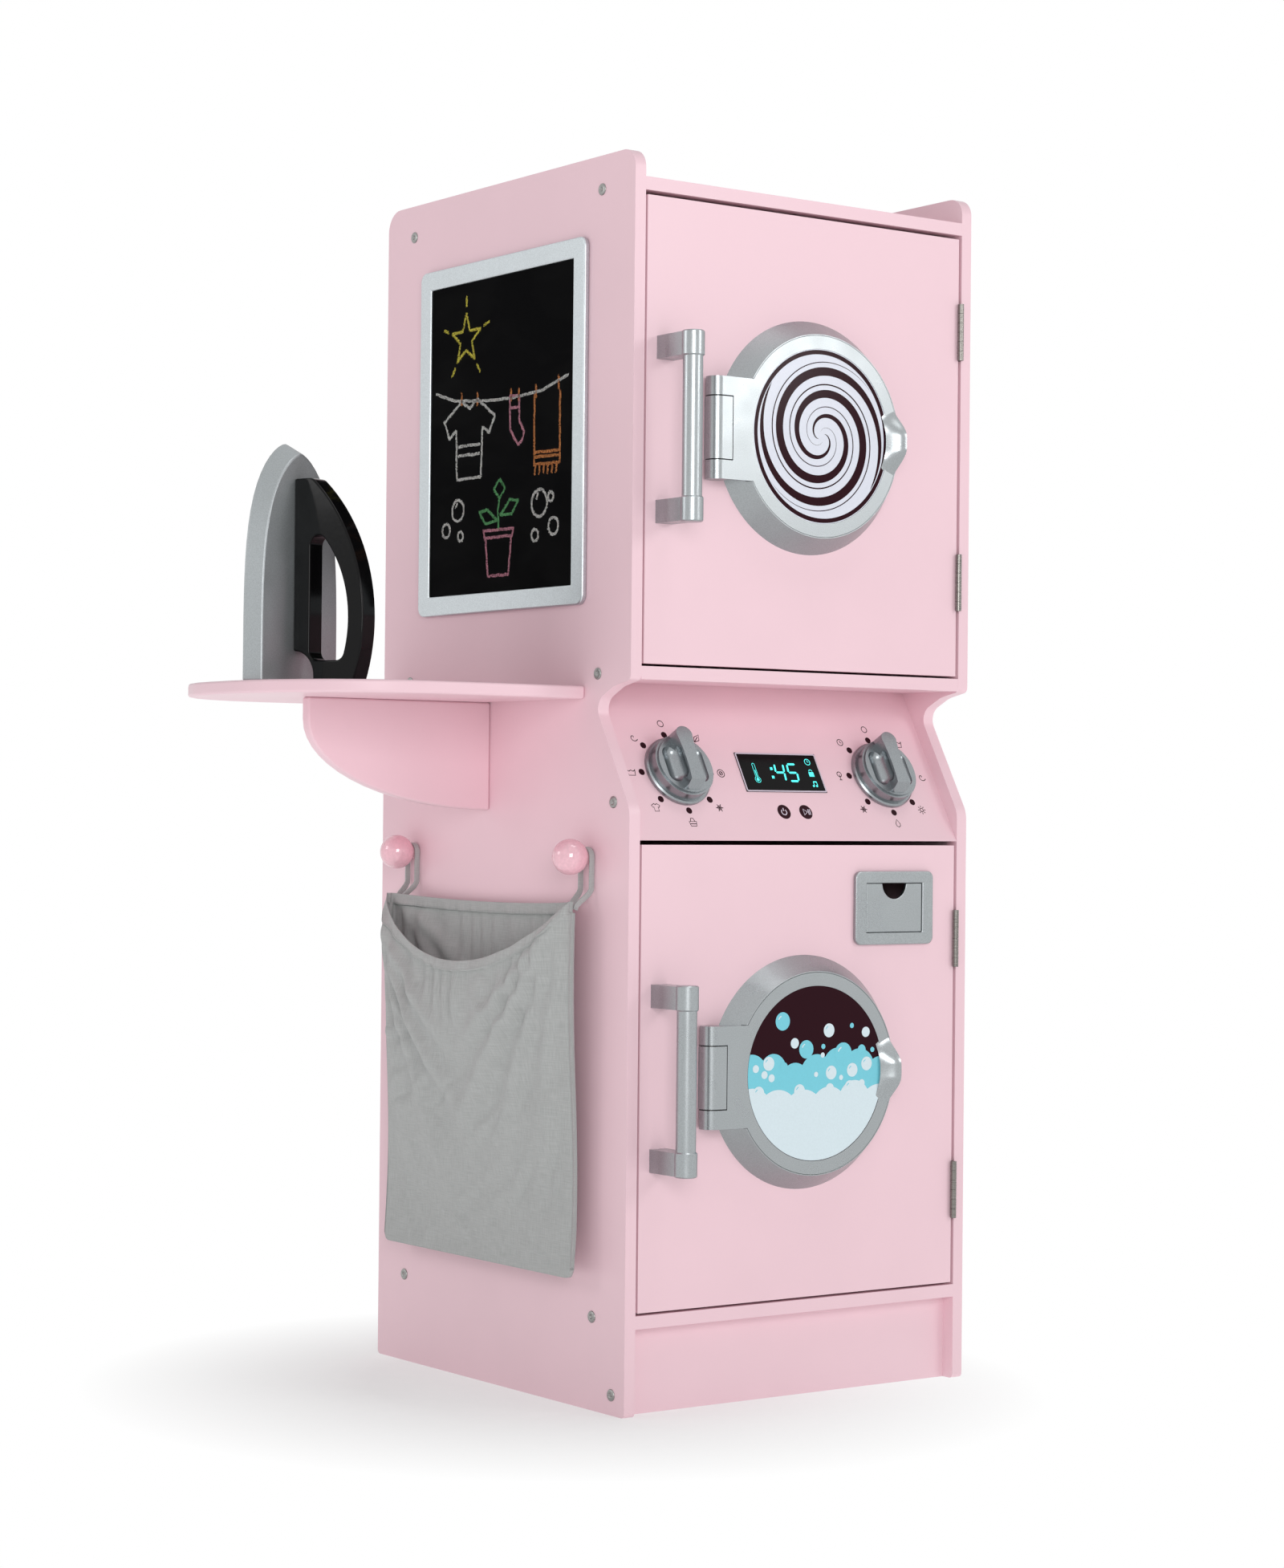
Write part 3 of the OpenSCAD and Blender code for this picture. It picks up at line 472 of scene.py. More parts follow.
def modified(mesh, steps):
    """The mesh after modifiers, each with its settings."""
    work = linked("work", mesh)
    for kind, settings in steps.items():
        modifier = work.modifiers.new(kind, kind)
        for name, value in settings.items():
            setattr(modifier, name, value)
    return evaluated_mesh(work)


def thickened(mesh, thickness):
    """A surface with a wall inwards of it."""
    return modified(mesh, {"SOLIDIFY": {"thickness": thickness, "offset": -1.0}})


def welded(node):
    """A bmesh of a CAD node with its doubled corners joined."""
    shape = bmesh.new()
    shape.from_mesh(frame["nodes"][node].data)
    bmesh.ops.remove_doubles(shape, verts=shape.verts, dist=0.002 * MM)
    return shape


def eased(edge, finish_name, slot, *nodes, steps=3):
    """Copies of CAD nodes with their sharp edges rounded, in their place."""
    for node in nodes:
        shape = welded(node)
        bmesh.ops.dissolve_limit(shape, angle_limit=math.radians(0.4), verts=shape.verts, edges=shape.edges)
        made = modified(mesh_from("work", shape, smooth=True), {
            "BEVEL": {"width": edge, "segments": steps, "limit_method": "ANGLE",
                      "angle_limit": math.radians(28)},
            "WEIGHTED_NORMAL": {"keep_sharp": True}})
        body = frame["nodes"][node]["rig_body"]
        piece_from(node + "_eased", coated(made, finish_name), body, slot, node)


def coat(finish_name, *nodes):
    """Gives CAD nodes a finish."""
    for node in nodes:
        coated(frame["nodes"][node].data, finish_name)


def of_doors(end):
    """The names of both doors' nodes with this ending."""
    return [door + end for door in DOORS]


# ---------------------------------------------------------------- geometry node trees

def new_tree(name, *sockets):
    """A geometry node tree with a geometry output and the named inputs."""
    kinds = {"Geometry": "Geometry", "Item": "Object", "Seed": "Int", "Material": "Material"}
    tree = bpy.data.node_groups.new(name, "GeometryNodeTree")
    tree.interface.new_socket("Geometry", in_out="OUTPUT", socket_type="NodeSocketGeometry")
    for socket in sockets:
        kind = "NodeSocket" + kinds.get(socket, "Float")
        tree.interface.new_socket(socket, in_out="INPUT", socket_type=kind)
    return tree, add(tree, "NodeGroupInput").outputs


def close_tree(tree, geometry, material):
    """Ends a tree in real geometry with one material."""
    real = add(tree, "GeometryNodeRealizeInstances", {"Geometry": geometry})
    painted = add(tree, "GeometryNodeSetMaterial", {"Geometry": real.outputs["Geometry"],
                                                    "Material": material})
    add(tree, "NodeGroupOutput", {"Geometry": painted.outputs["Geometry"]})
    return tree


def vector(tree, **axes):
    """A vector from values along its axes."""
    return add(tree, "ShaderNodeCombineXYZ", axes).outputs["Vector"]


def random_spin(tree, most, seed=0):
    """A random turn about z."""
    turn = add(tree, "FunctionNodeRandomValue", {2: 0.0, 3: most, "Seed": seed}, data_type="FLOAT")
    return vector(tree, Z=turn.outputs[1])


def random_vector(tree, low, high, seed=0):
    """A random vector between two vectors."""
    return add(tree, "FunctionNodeRandomValue", {"Min": low, "Max": high, "Seed": seed},
               data_type="FLOAT_VECTOR").outputs["Value"]


def even_points(tree, given):
    """Points at every step along the given curve."""
    return add(tree, "GeometryNodeResampleCurve", {"Curve": given["Geometry"], "Length": given["Step"]},
               mode="LENGTH").outputs["Curve"]


def scattered(tree, points, item, rotation, material, scale=(1.0, 1.0, 1.0)):
    """Ends a tree with an item at each point."""
    placed = add(tree, "GeometryNodeInstanceOnPoints", {"Points": points, "Instance": item,
                                                        "Rotation": rotation, "Scale": scale})
    return close_tree(tree, placed.outputs["Instances"], material)


@functools.cache
def repeat_tree():
    """Sets one item at each point, with a random turn about its own axis."""
    tree, given = new_tree("Repeat at points", "Geometry", "Item", "Random turn", "Seed", "Material")
    item = add(tree, "GeometryNodeObjectInfo", {"Object": given["Item"]}).outputs["Geometry"]
    points = add(tree, "GeometryNodeMeshToPoints", {"Mesh": given["Geometry"]}).outputs["Points"]
    spin = random_spin(tree, given["Random turn"], given["Seed"])
    return scattered(tree, points, item, spin, given["Material"])


@functools.cache
def stitch_tree():
    """Sets a stitch at every step along a path, turned to follow it."""
    tree, given = new_tree("Stitches along a path", "Geometry", "Item", "Step", "Material")
    item = add(tree, "GeometryNodeObjectInfo", {"Object": given["Item"]}).outputs["Geometry"]
    tangent = add(tree, "GeometryNodeInputTangent").outputs["Tangent"]
    turn = add(tree, "FunctionNodeAlignRotationToVector", {"Vector": tangent}, axis="X").outputs["Rotation"]
    return scattered(tree, even_points(tree, given), item, turn, given["Material"])


@functools.cache
def chalk_tree():
    """Scatters small flat grains of chalk along a path, over the width of the line."""
    tree, given = new_tree("Chalk along a path", "Geometry", "Step", "Line width", "Grain", "Seed",
                           "Material")
    half = maths(tree, "MULTIPLY", given["Line width"], 0.5)
    less = maths(tree, "MULTIPLY", half, -1.0)
    drift = random_vector(tree, vector(tree, X=less, Y=less), vector(tree, X=half, Y=half), given["Seed"])
    moved = add(tree, "GeometryNodeSetPosition", {"Geometry": even_points(tree, given), "Offset": drift})
    grain = add(tree, "GeometryNodeMeshCircle", {"Radius": given["Grain"], "Vertices": 5}, fill_type="NGON")
    size = random_vector(tree, (0.5, 0.35, 1.0), (1.3, 1.0, 1.0))
    return scattered(tree, moved.outputs["Geometry"], grain.outputs["Mesh"], random_spin(tree, 2 * math.pi),
                     given["Material"], size)


@functools.cache
def swirl_tree():
    """A flat spiral band that is thin at both ends and widest between them."""
    tree, given = new_tree("Swirl band", "Turns", "Inner radius", "Outer radius", "Band", "Start",
                           "Material")
    spiral = add(tree, "GeometryNodeCurveSpiral", {
        "Resolution": 96, "Rotations": given["Turns"], "Start Radius": given["Inner radius"],
        "End Radius": given["Outer radius"], "Height": 0.0})
    along = add(tree, "GeometryNodeSplineParameter").outputs["Factor"]
    swell = maths(tree, "SINE", maths(tree, "MULTIPLY", along, math.pi))
    soft = maths(tree, "POWER", swell, 0.6)
    reach = maths(tree, "MULTIPLY", given["Band"], 0.5)
    back = maths(tree, "MULTIPLY", reach, -1.0)
    profile = add(tree, "GeometryNodeCurvePrimitiveLine", {"Start": vector(tree, X=back),
                                                           "End": vector(tree, X=reach)})
    flat = add(tree, "GeometryNodeSetCurveNormal", {"Curve": spiral.outputs["Curve"]}, mode="Z_UP")
    band = add(tree, "GeometryNodeCurveToMesh", {"Curve": flat.outputs["Curve"], "Scale": soft,
                                                 "Profile Curve": profile.outputs["Curve"]})
    turned = add(tree, "GeometryNodeTransform", {"Geometry": band.outputs["Mesh"],
                                                 "Rotation": vector(tree, Z=given["Start"])})
    return close_tree(tree, turned.outputs["Geometry"], given["Material"])


def grown(maker, data, values):
    """The plain mesh that a tree grows from an object's data, with its inputs given by name."""
    work = linked("work", data)
    modifier = work.modifiers.new("Nodes", "NODES")
    modifier.node_group = maker()
    for socket in modifier.node_group.interface.items_tree:
        if socket.in_out == "INPUT" and socket.name in values:
            modifier[socket.identifier] = values[socket.name]
    return evaluated_mesh(work)


def repeated(item, places, turn, seed, finish_name):
    """One item at each place, with a random turn up to an angle."""
    points = bpy.data.meshes.new("points")
    points.from_pydata(places, [], [])
    return grown(repeat_tree, points, {"Item": item, "Random turn": turn, "Seed": seed,
                                       "Material": finish(finish_name)})


def paths(lines):
    """A curve object's data with one open line for each list of points."""
    made = bpy.data.curves.new("paths", "CURVE")
    made.dimensions = "3D"
    for line in lines:
        spline = made.splines.new("POLY")
        spline.points.add(len(line) - 1)
        for point, place in zip(spline.points, line):
            point.co = (*place, 1.0)
    return made


def item_object(name, shape):
    """An unlinked object that a tree repeats."""
    return bpy.data.objects.new(name, mesh_from(name, shape, smooth=True))


# ---------------------------------------------------------------- flat drawing

def circle_points(radius, count, x=0.0, y=0.0, start=0.0, sweep=2 * math.pi):
    """Points on a circle or an arc."""
    whole = abs(sweep) >= 2 * math.pi
    steps = count if whole else count - 1
    angles = [start + sweep * i / steps for i in range(count)]
    return [(x + radius * math.cos(a), y + radius * math.sin(a)) for a in angles]


def fill(shape, outline, out, index=0):
    """Adds a filled flat outline."""
    shape.faces.new([shape.verts.new((x, y, out)) for x, y in outline]).material_index = index


def stroke(shape, line, width, out=0.0, closed=False, index=0):
    """Adds a flat line of even width through points."""
    points = [Vector(p) for p in line]
    count = len(points)
    rails = []
    for i, point in enumerate(points):
        before = points[i - 1] if i or closed else point
        after = points[(i + 1) % count] if i < count - 1 or closed else point
        ahead, behind = (after - point), (point - before)
        way = (ahead.normalized() if ahead.length else Vector((0, 0))) + \
              (behind.normalized() if behind.length else Vector((0, 0)))
        side = Vector((-way.y, way.x)).normalized() * width / 2
        rails.append([shape.verts.new((*(point + sign * side), out)) for sign in (1, -1)])
    for i in range(count if closed else count - 1):
        a, b = rails[i], rails[(i + 1) % count]
        shape.faces.new((a[0], a[1], b[1], b[0])).material_index = index


def rounded_rectangle(width, height, radius, steps):
    """Outline of a rectangle with round corners, anticlockwise."""
    corners = ((1, 1, 0.0), (-1, 1, 0.5), (-1, -1, 1.0), (1, -1, 1.5))
    return [p for sx, sy, start in corners for p in circle_points(
        radius, steps, sx * (width / 2 - radius), sy * (height / 2 - radius), start * math.pi,
        math.pi / 2)]


def tube(shape, rings):
    """Adds the faces between closed rings of vertices."""
    for near, far in zip(rings, rings[1:]):
        for i, corner in enumerate(near):
            k = (i + 1) % len(near)
            shape.faces.new((corner, near[k], far[k], far[i]))


# ---------------------------------------------------------------- operators

class LAUNDRY_OT_studio(bpy.types.Operator):
    """Pale floor, white surround, soft lamps and the camera"""

    bl_idname = "laundry.studio"
    bl_label = "Studio"

    def execute(self, context):
        self.camera(context)
        self.surround(context)
        self.floor()
        self.lamps()
        context.scene.view_settings.view_transform = "Standard"
        return {"FINISHED"}

    def camera(self, context):
        """The camera stands low at the left front corner, at the height of the lower door."""
        data = bpy.data.cameras.new("camera")
        data.lens = 74.02
        data.sensor_width = 36.0
        data.shift_x = 0.0699
        data.clip_end = 50.0
        camera = linked("camera", data)
        camera.location = (-1.5647, -2.1911, 0.4771)
        camera.rotation_euler = [math.radians(a) for a in (90.461, -0.557, -34.928)]
        context.scene.camera = camera

    def surround(self, context):
        """White for the camera and in reflections, and a plain light level for everything else."""
        world = bpy.data.worlds.new("surround")
        world.use_nodes = True
        tree = world.node_tree
        background = tree.nodes["Background"].inputs
        path = add(tree, "ShaderNodeLightPath").outputs
        seen = maths(tree, "MAXIMUM", path["Is Camera Ray"], path["Is Glossy Ray"])
        shown = maths(tree, "MAXIMUM", seen, path["Is Transmission Ray"])
        background["Color"].default_value = (1.0, 1.0, 1.0, 1.0)
        tree.links.new(ramp_between(tree, shown, 0.0, 1.0, 0.36, 1.0), background["Strength"])
        context.scene.world = world

    def floor(self):
        """A pale floor that keeps the shadow near the cabinet and fades to plain white beyond."""
        made = bpy.data.materials.new("Pale studio floor")
        made.use_nodes = True
        tree = made.node_tree
        tree.nodes.clear()
        tone = mixed(tree, srgb("#f3f3f3"), srgb("#f8f8f8"), speckle(tree, position(tree), 60.0, 3.0))
        matt = add(tree, "ShaderNodeBsdfDiffuse", {"Color": tone})
        white = add(tree, "ShaderNodeEmission", {"Color": (1.0, 1.0, 1.0, 1.0), "Strength": 1.0})
        reach = add(tree, "ShaderNodeVectorMath", {0: position(tree)}, operation="LENGTH")
        fade = ramp_between(tree, reach.outputs["Value"], 0.16, 0.4, 0.4, 1.0)
        both = add(tree, "ShaderNodeMixShader", {0: fade, 1: matt.outputs[0], 2: white.outputs[0]})
        add(tree, "ShaderNodeOutputMaterial", {"Surface": both.outputs[0]})
        shape = bmesh.new()
        bmesh.ops.create_grid(shape, x_segments=2, y_segments=2, size=12.0)
        mesh = mesh_from("floor", shape)
        mesh.materials.append(made)
        floor = linked("floor", mesh)

    def lamps(self):
        """Soft lamps: one at each side before the front, of which the left one grazes the bag, a weak
        one at the left and one above."""
        for name, place, size, power in (("right_front_lamp", (1.7, -2.7, 1.6), 0.9, 14.0),
                                         ("left_front_lamp", (-1.4, -2.5, 1.0), 1.0, 21.0),
                                         ("left_lamp", (-2.0, 0.9, 1.25), 0.7, 4.0),
                                         ("top_lamp", (0.3, -0.9, 2.9), 0.9, 6.0)):
            data = bpy.data.lights.new(name, "AREA")
            data.size = size
            data.energy = power
            lamp = linked(name, data)
            lamp.location = place
            aim = Vector((0.0, 0.0, 0.5)) - lamp.location
            lamp.rotation_euler = aim.to_track_quat("-Z", "Y").to_euler()


class LAUNDRY_OT_boards(bpy.types.Operator):
    """Painted boards of the cabinet and doors, with rounded edges"""

    bl_idname = "laundry.boards"
    bl_label = "Painted boards"

    def execute(self, context):
        edge = context.scene.laundry_sizes.board_edge
        kind = ("board_lacquer", "painted_board")
        eased(edge, *kind, "left_side_panel", "right_side_panel", "ironing_shelf", "shelf_bracket")
        eased(edge * 0.6, *kind, "top_board", *of_doors("_floor"), "kick_board", "control_panel",
              *of_doors("_door_board"))
        eased(edge * 0.2, *kind, *of_doors("_back_panel"))
        return {"FINISHED"}


class LAUNDRY_OT_screws(bpy.types.Operator):
    """Socket screws in the side panels, and the screws of handles and knobs"""

    bl_idname = "laundry.screws"
    bl_label = "Screws"

    def execute(self, context):
        head = item_object("screw_head", self.head())
        sides = {-1: [], 1: []}
        for low, high in solids_of("cabinet_screws"):
            side = -1 if high.x < MIDDLE_X else 1
            outer = low.x if side < 0 else high.x
            sides[side].append(Vector((outer, (low.y + high.y) / 2, (low.z + high.z) / 2)))
        meshes = []
        for side, found in sides.items():
            turn = Matrix.Rotation(math.radians(90 * side), 4, "Y")
            mesh = repeated(head, [turn.inverted() @ p for p in found], 2 * math.pi, 3 + side, "zinc")
            mesh.transform(turn)
            meshes.append(mesh)
        both = joined("cabinet_screw_heads", meshes)
        piece_from("cabinet_screw_heads", both, "cabinet", "plated_steel", "cabinet_screws")
        coat("zinc", "left_knob_screw", "right_knob_screw", *of_doors("_handle_screws"))
        return {"FINISHED"}

    def head(self):
        """A low domed head with a hexagon socket; its top is at z = 0 and it faces +z."""
        shape = bmesh.new()
        around = 24
        profile = ((4.8, -1.2), (4.8, -0.7), (4.3, -0.25), (3.4, 0.0), (2.5, 0.0))
        socket = [self.hexagon(i, around) for i in range(around)]
        outlines = [(circle_points(r * MM, around), z) for r, z in profile] + [(socket, 0.0), (socket, -2.4)]
        rings = [[shape.verts.new((x, y, z * MM)) for x, y in outline] for outline, z in outlines]
        tube(shape, rings)
        shape.faces.new(rings[-1])
        return shape

    def hexagon(self, i, around):
        """Point i of a hexagon socket 4.2 mm across its corners."""
        angle = 2 * math.pi * i / around
        part = (angle % (math.pi / 3)) - math.pi / 6
        radius = 2.1 * MM * math.cos(math.pi / 6) / math.cos(part)
        return radius * math.cos(angle), radius * math.sin(angle)


def solids_of(node):
    """Boxes of the separate solids in a CAD node."""
    shape = welded(node)
    seen, boxes = set(), []
    for first in shape.verts:
        if first in seen:
            continue
        stack, group = [first], []
        seen.add(first)
        while stack:
            vert = stack.pop()
            group.append(vert.co.copy())
            for edge in vert.link_edges:
                other = edge.other_vert(vert)
                if other not in seen:
                    seen.add(other)
                    stack.append(other)
        boxes.append(tuple(Vector([end(p[i] for p in group) for i in range(3)]) for end in (min, max)))
    shape.free()
    return boxes


def joined(name, meshes):
    """One mesh from several that share their materials."""
    shape = bmesh.new()
    for mesh in meshes:
        shape.from_mesh(mesh)
    made = mesh_from(name, shape)
    for material in meshes[0].materials:
        made.materials.append(material)
    return made


class LAUNDRY_OT_hinges(bpy.types.Operator):
    """Plated door hinges, strikes and magnets"""

    bl_idname = "laundry.hinges"
    bl_label = "Hinges and catches"

    def execute(self, context):
        edge = context.scene.laundry_sizes.leaf_edge
        for door in DOORS:
            eased(edge, "plated_steel", "plated_steel", door + "_frame_hinge_leaves",
                  door + "_door_hinge_leaves", door + "_door_strike", steps=2)
            eased(edge * 3, "black_plastic", "black_plastic", door + "_door_magnet", steps=2)
            coat("plated_steel", door + "_hinge_pins")
        return {"FINISHED"}


class LAUNDRY_OT_handles(bpy.types.Operator):
    """Silver bar handles of the doors"""

    bl_idname = "laundry.handles"
    bl_label = "Handles"

    def execute(self, context):
        edge = context.scene.laundry_sizes.plastic_edge
        for door in DOORS:
            eased(edge * 0.5, "silver_paint", "silver_plastic", door + "_handle_bar")
            eased(edge * 0.8, "silver_paint", "silver_plastic", door + "_handle_posts")
        return {"FINISHED"}


def window(door):
    """The middle of a porthole's window, and its radius."""
    low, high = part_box(door + "_porthole_window")
    return (low + high) / 2, (high.x - low.x) / 2


class LAUNDRY_OT_portholes(bpy.types.Operator):
    """Silver portholes with their lids, grips and printed windows"""

    bl_idname = "laundry.portholes"
    bl_label = "Portholes"

    def execute(self, context):
        edge = context.scene.laundry_sizes.plastic_edge
        for door in DOORS:
            eased(edge, "silver_paint", "silver_plastic", door + "_porthole_bezel")
            eased(edge * 0.8, "silver_paint", "silver_plastic", door + "_porthole_lid")
            coat("plated_steel", door + "_porthole_pin")
            self.grip(door)
        coat("print_pale", "dryer_porthole_window")
        coat("print_dark", "washer_porthole_window")
        self.swirl()
        self.suds()
        return {"FINISHED"}

    def face(self, door):
        """Place of a window's face, and its radius."""
        middle, radius = window(door)
        out = FRONT_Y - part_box(door + "_porthole_window")[0].y
        return on_front(middle.x - MIDDLE_X, middle.z, out), radius

    def grip(self, door):
        """A moulded finger grip: a smooth hollow lip on the ring, rising outwards."""
        name = door + "_porthole_grip"
        low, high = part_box(name)
        middle = window(door)[0]
        inner, outer, rise = low.x - middle.x, high.x - middle.x, high.y - low.y
        half_turn = math.asin((high.z - low.z) / 2 / outer)
        columns, rows, sunk = 64, 12, 0.4 * MM
        shape = bmesh.new()
        grid = []
        for j in range(rows + 1):
            radius = inner + (outer - inner) * j / rows
            height = rise * (0.15 + 0.85 * math.sin(math.pi / 2 * j / rows))
            line = []
            for i in range(columns + 1):
                t = 2 * i / columns - 1
                near = min(1.0, (1 - abs(t)) / 0.82)
                out = (height + sunk) * near * near * (3 - 2 * near) - sunk
                line.append(shape.verts.new((middle.x + radius * math.cos(t * half_turn), high.y - out,
                                             middle.z + radius * math.sin(t * half_turn))))
            grid.append(line)
        for a, b in zip(grid, grid[1:]):
            for i in range(columns):
                shape.faces.new((a[i], b[i], b[i + 1], a[i + 1]))
        made = coated(thickened(mesh_from("work", shape, smooth=True), 1.8 * MM), "silver_paint")
        made.set_sharp_from_angle(angle=math.radians(50))
        piece_from(name + "_moulded", made, door + "_porthole", "silver_plastic", name)

    def swirl(self):
        """The dryer's print: two broad tapering spiral arms, two hairline arms and a dark rim."""
        place, radius = self.face("dryer")
        rim = bmesh.new()
        stroke(rim, circle_points(radius * 0.965, 128), radius * 0.05, closed=True)
        meshes = [grown(swirl_tree, bpy.data.meshes.new("seed"), {
            "Turns": 1.7, "Inner radius": radius * 0.05, "Outer radius": radius * 0.93,
            "Band": radius * band, "Start": start, "Material": finish("print_dark")})
            for start, band in ((0.6, 0.105), (0.6 + math.pi, 0.105), (1.9, 0.016), (1.9 + math.pi, 0.016))]
        mesh = joined("dryer_print", [*meshes, mesh_from("rim", rim)])
        mesh.transform(place @ Matrix.Translation((0.0, 0.0, INK)))
        piece_from("dryer_print", mesh, "dryer_porthole", "printed_disc")

    def suds(self):
        """The washer's print: foam below, water behind it and bubbles rising above."""
        place, radius = self.face("washer")
        edge = radius * 0.995
        rng = random.Random(12)
        shape = bmesh.new()
        water = [(-0.95 + 0.32 * i, rng.uniform(-0.08, 0.12), rng.uniform(0.18, 0.26)) for i in range(7)]
        foam = [(-0.94 + 0.38 * i, rng.uniform(-0.50, -0.30), rng.uniform(0.23, 0.34)) for i in range(6)]
        for level, (bumps, index) in enumerate(((water, 0), (foam, 1))):
            self.below(shape, [(x * edge, y * edge, r * edge) for x, y, r in bumps], edge,
                       INK * (level + 1), index)
        placed = []
        for _ in range(400):
            r = rng.choice((0.03, 0.045, 0.06, 0.08, 0.105, 0.13))
            x, y = rng.uniform(-0.9, 0.9), rng.uniform(-0.22, 0.62)
            clear = all(math.dist((x, y), other[:2]) > (r + other[2]) * 1.12 for other in placed)
            if not clear or math.hypot(x, y) + r > 0.95 or len(placed) >= 26:
                continue
            placed.append((x, y, r))
            index = 1 if y < 0.08 or rng.random() < 0.3 else 0
            fill(shape, circle_points(r * edge, 36, x * edge, y * edge), INK * 3, index)
            if r > 0.06:
                glint = circle_points(r * edge * 0.6, 10, x * edge, y * edge, math.radians(110),
                                      math.radians(50))
                stroke(shape, glint, r * edge * 0.13, INK * 4, index=1 - index)
        drawn("washer_print", shape, place, ("water", "foam"), "washer_porthole", "printed_disc")

    def below(self, shape, bumps, radius, out, index):
        """Fills the window below the upper outline of a row of round bumps."""
        count = 420
        columns = []
        for i in range(count + 1):
            x = -radius * math.cos(math.pi * i / count)
            rim = math.sqrt(max(0.0, radius ** 2 - x ** 2))
            tops = [cy + math.sqrt(r ** 2 - (x - cx) ** 2) for cx, cy, r in bumps if abs(x - cx) < r]
            top = min(max(tops + [min(b[1] for b in bumps)]), rim)
            columns.append((shape.verts.new((x, -rim, out)), shape.verts.new((x, max(top, -rim), out))))
        for a, b in zip(columns, columns[1:]):
            shape.faces.new((a[0], b[0], b[1], a[1])).material_index = index


class LAUNDRY_OT_drawer(bpy.types.Operator):
    """Silver detergent drawer"""

    bl_idname = "laundry.drawer"
    bl_label = "Detergent drawer"

    def execute(self, context):
        edge = context.scene.laundry_sizes.plastic_edge
        eased(edge * 1.3, "silver_paint", "silver_plastic", "drawer_bezel")
        eased(edge * 0.7, "silver_paint", "silver_plastic", "drawer_front")
        eased(edge * 0.4, "silver_paint", "silver_plastic", "drawer_tray", steps=2)
        return {"FINISHED"}


class LAUNDRY_OT_knobs(bpy.types.Operator):
    """Silver programme knobs"""

    bl_idname = "laundry.knobs"
    bl_label = "Knobs"

    def execute(self, context):
        edge = context.scene.laundry_sizes.plastic_edge
        eased(edge, "knob_paint", "silver_plastic", "left_knob", "right_knob")
        return {"FINISHED"}


def in_mm(*points, x=0.0):
    """Points given in millimetres, moved sideways by x."""
    return [((x + px) * MM, py * MM) for px, py in points]


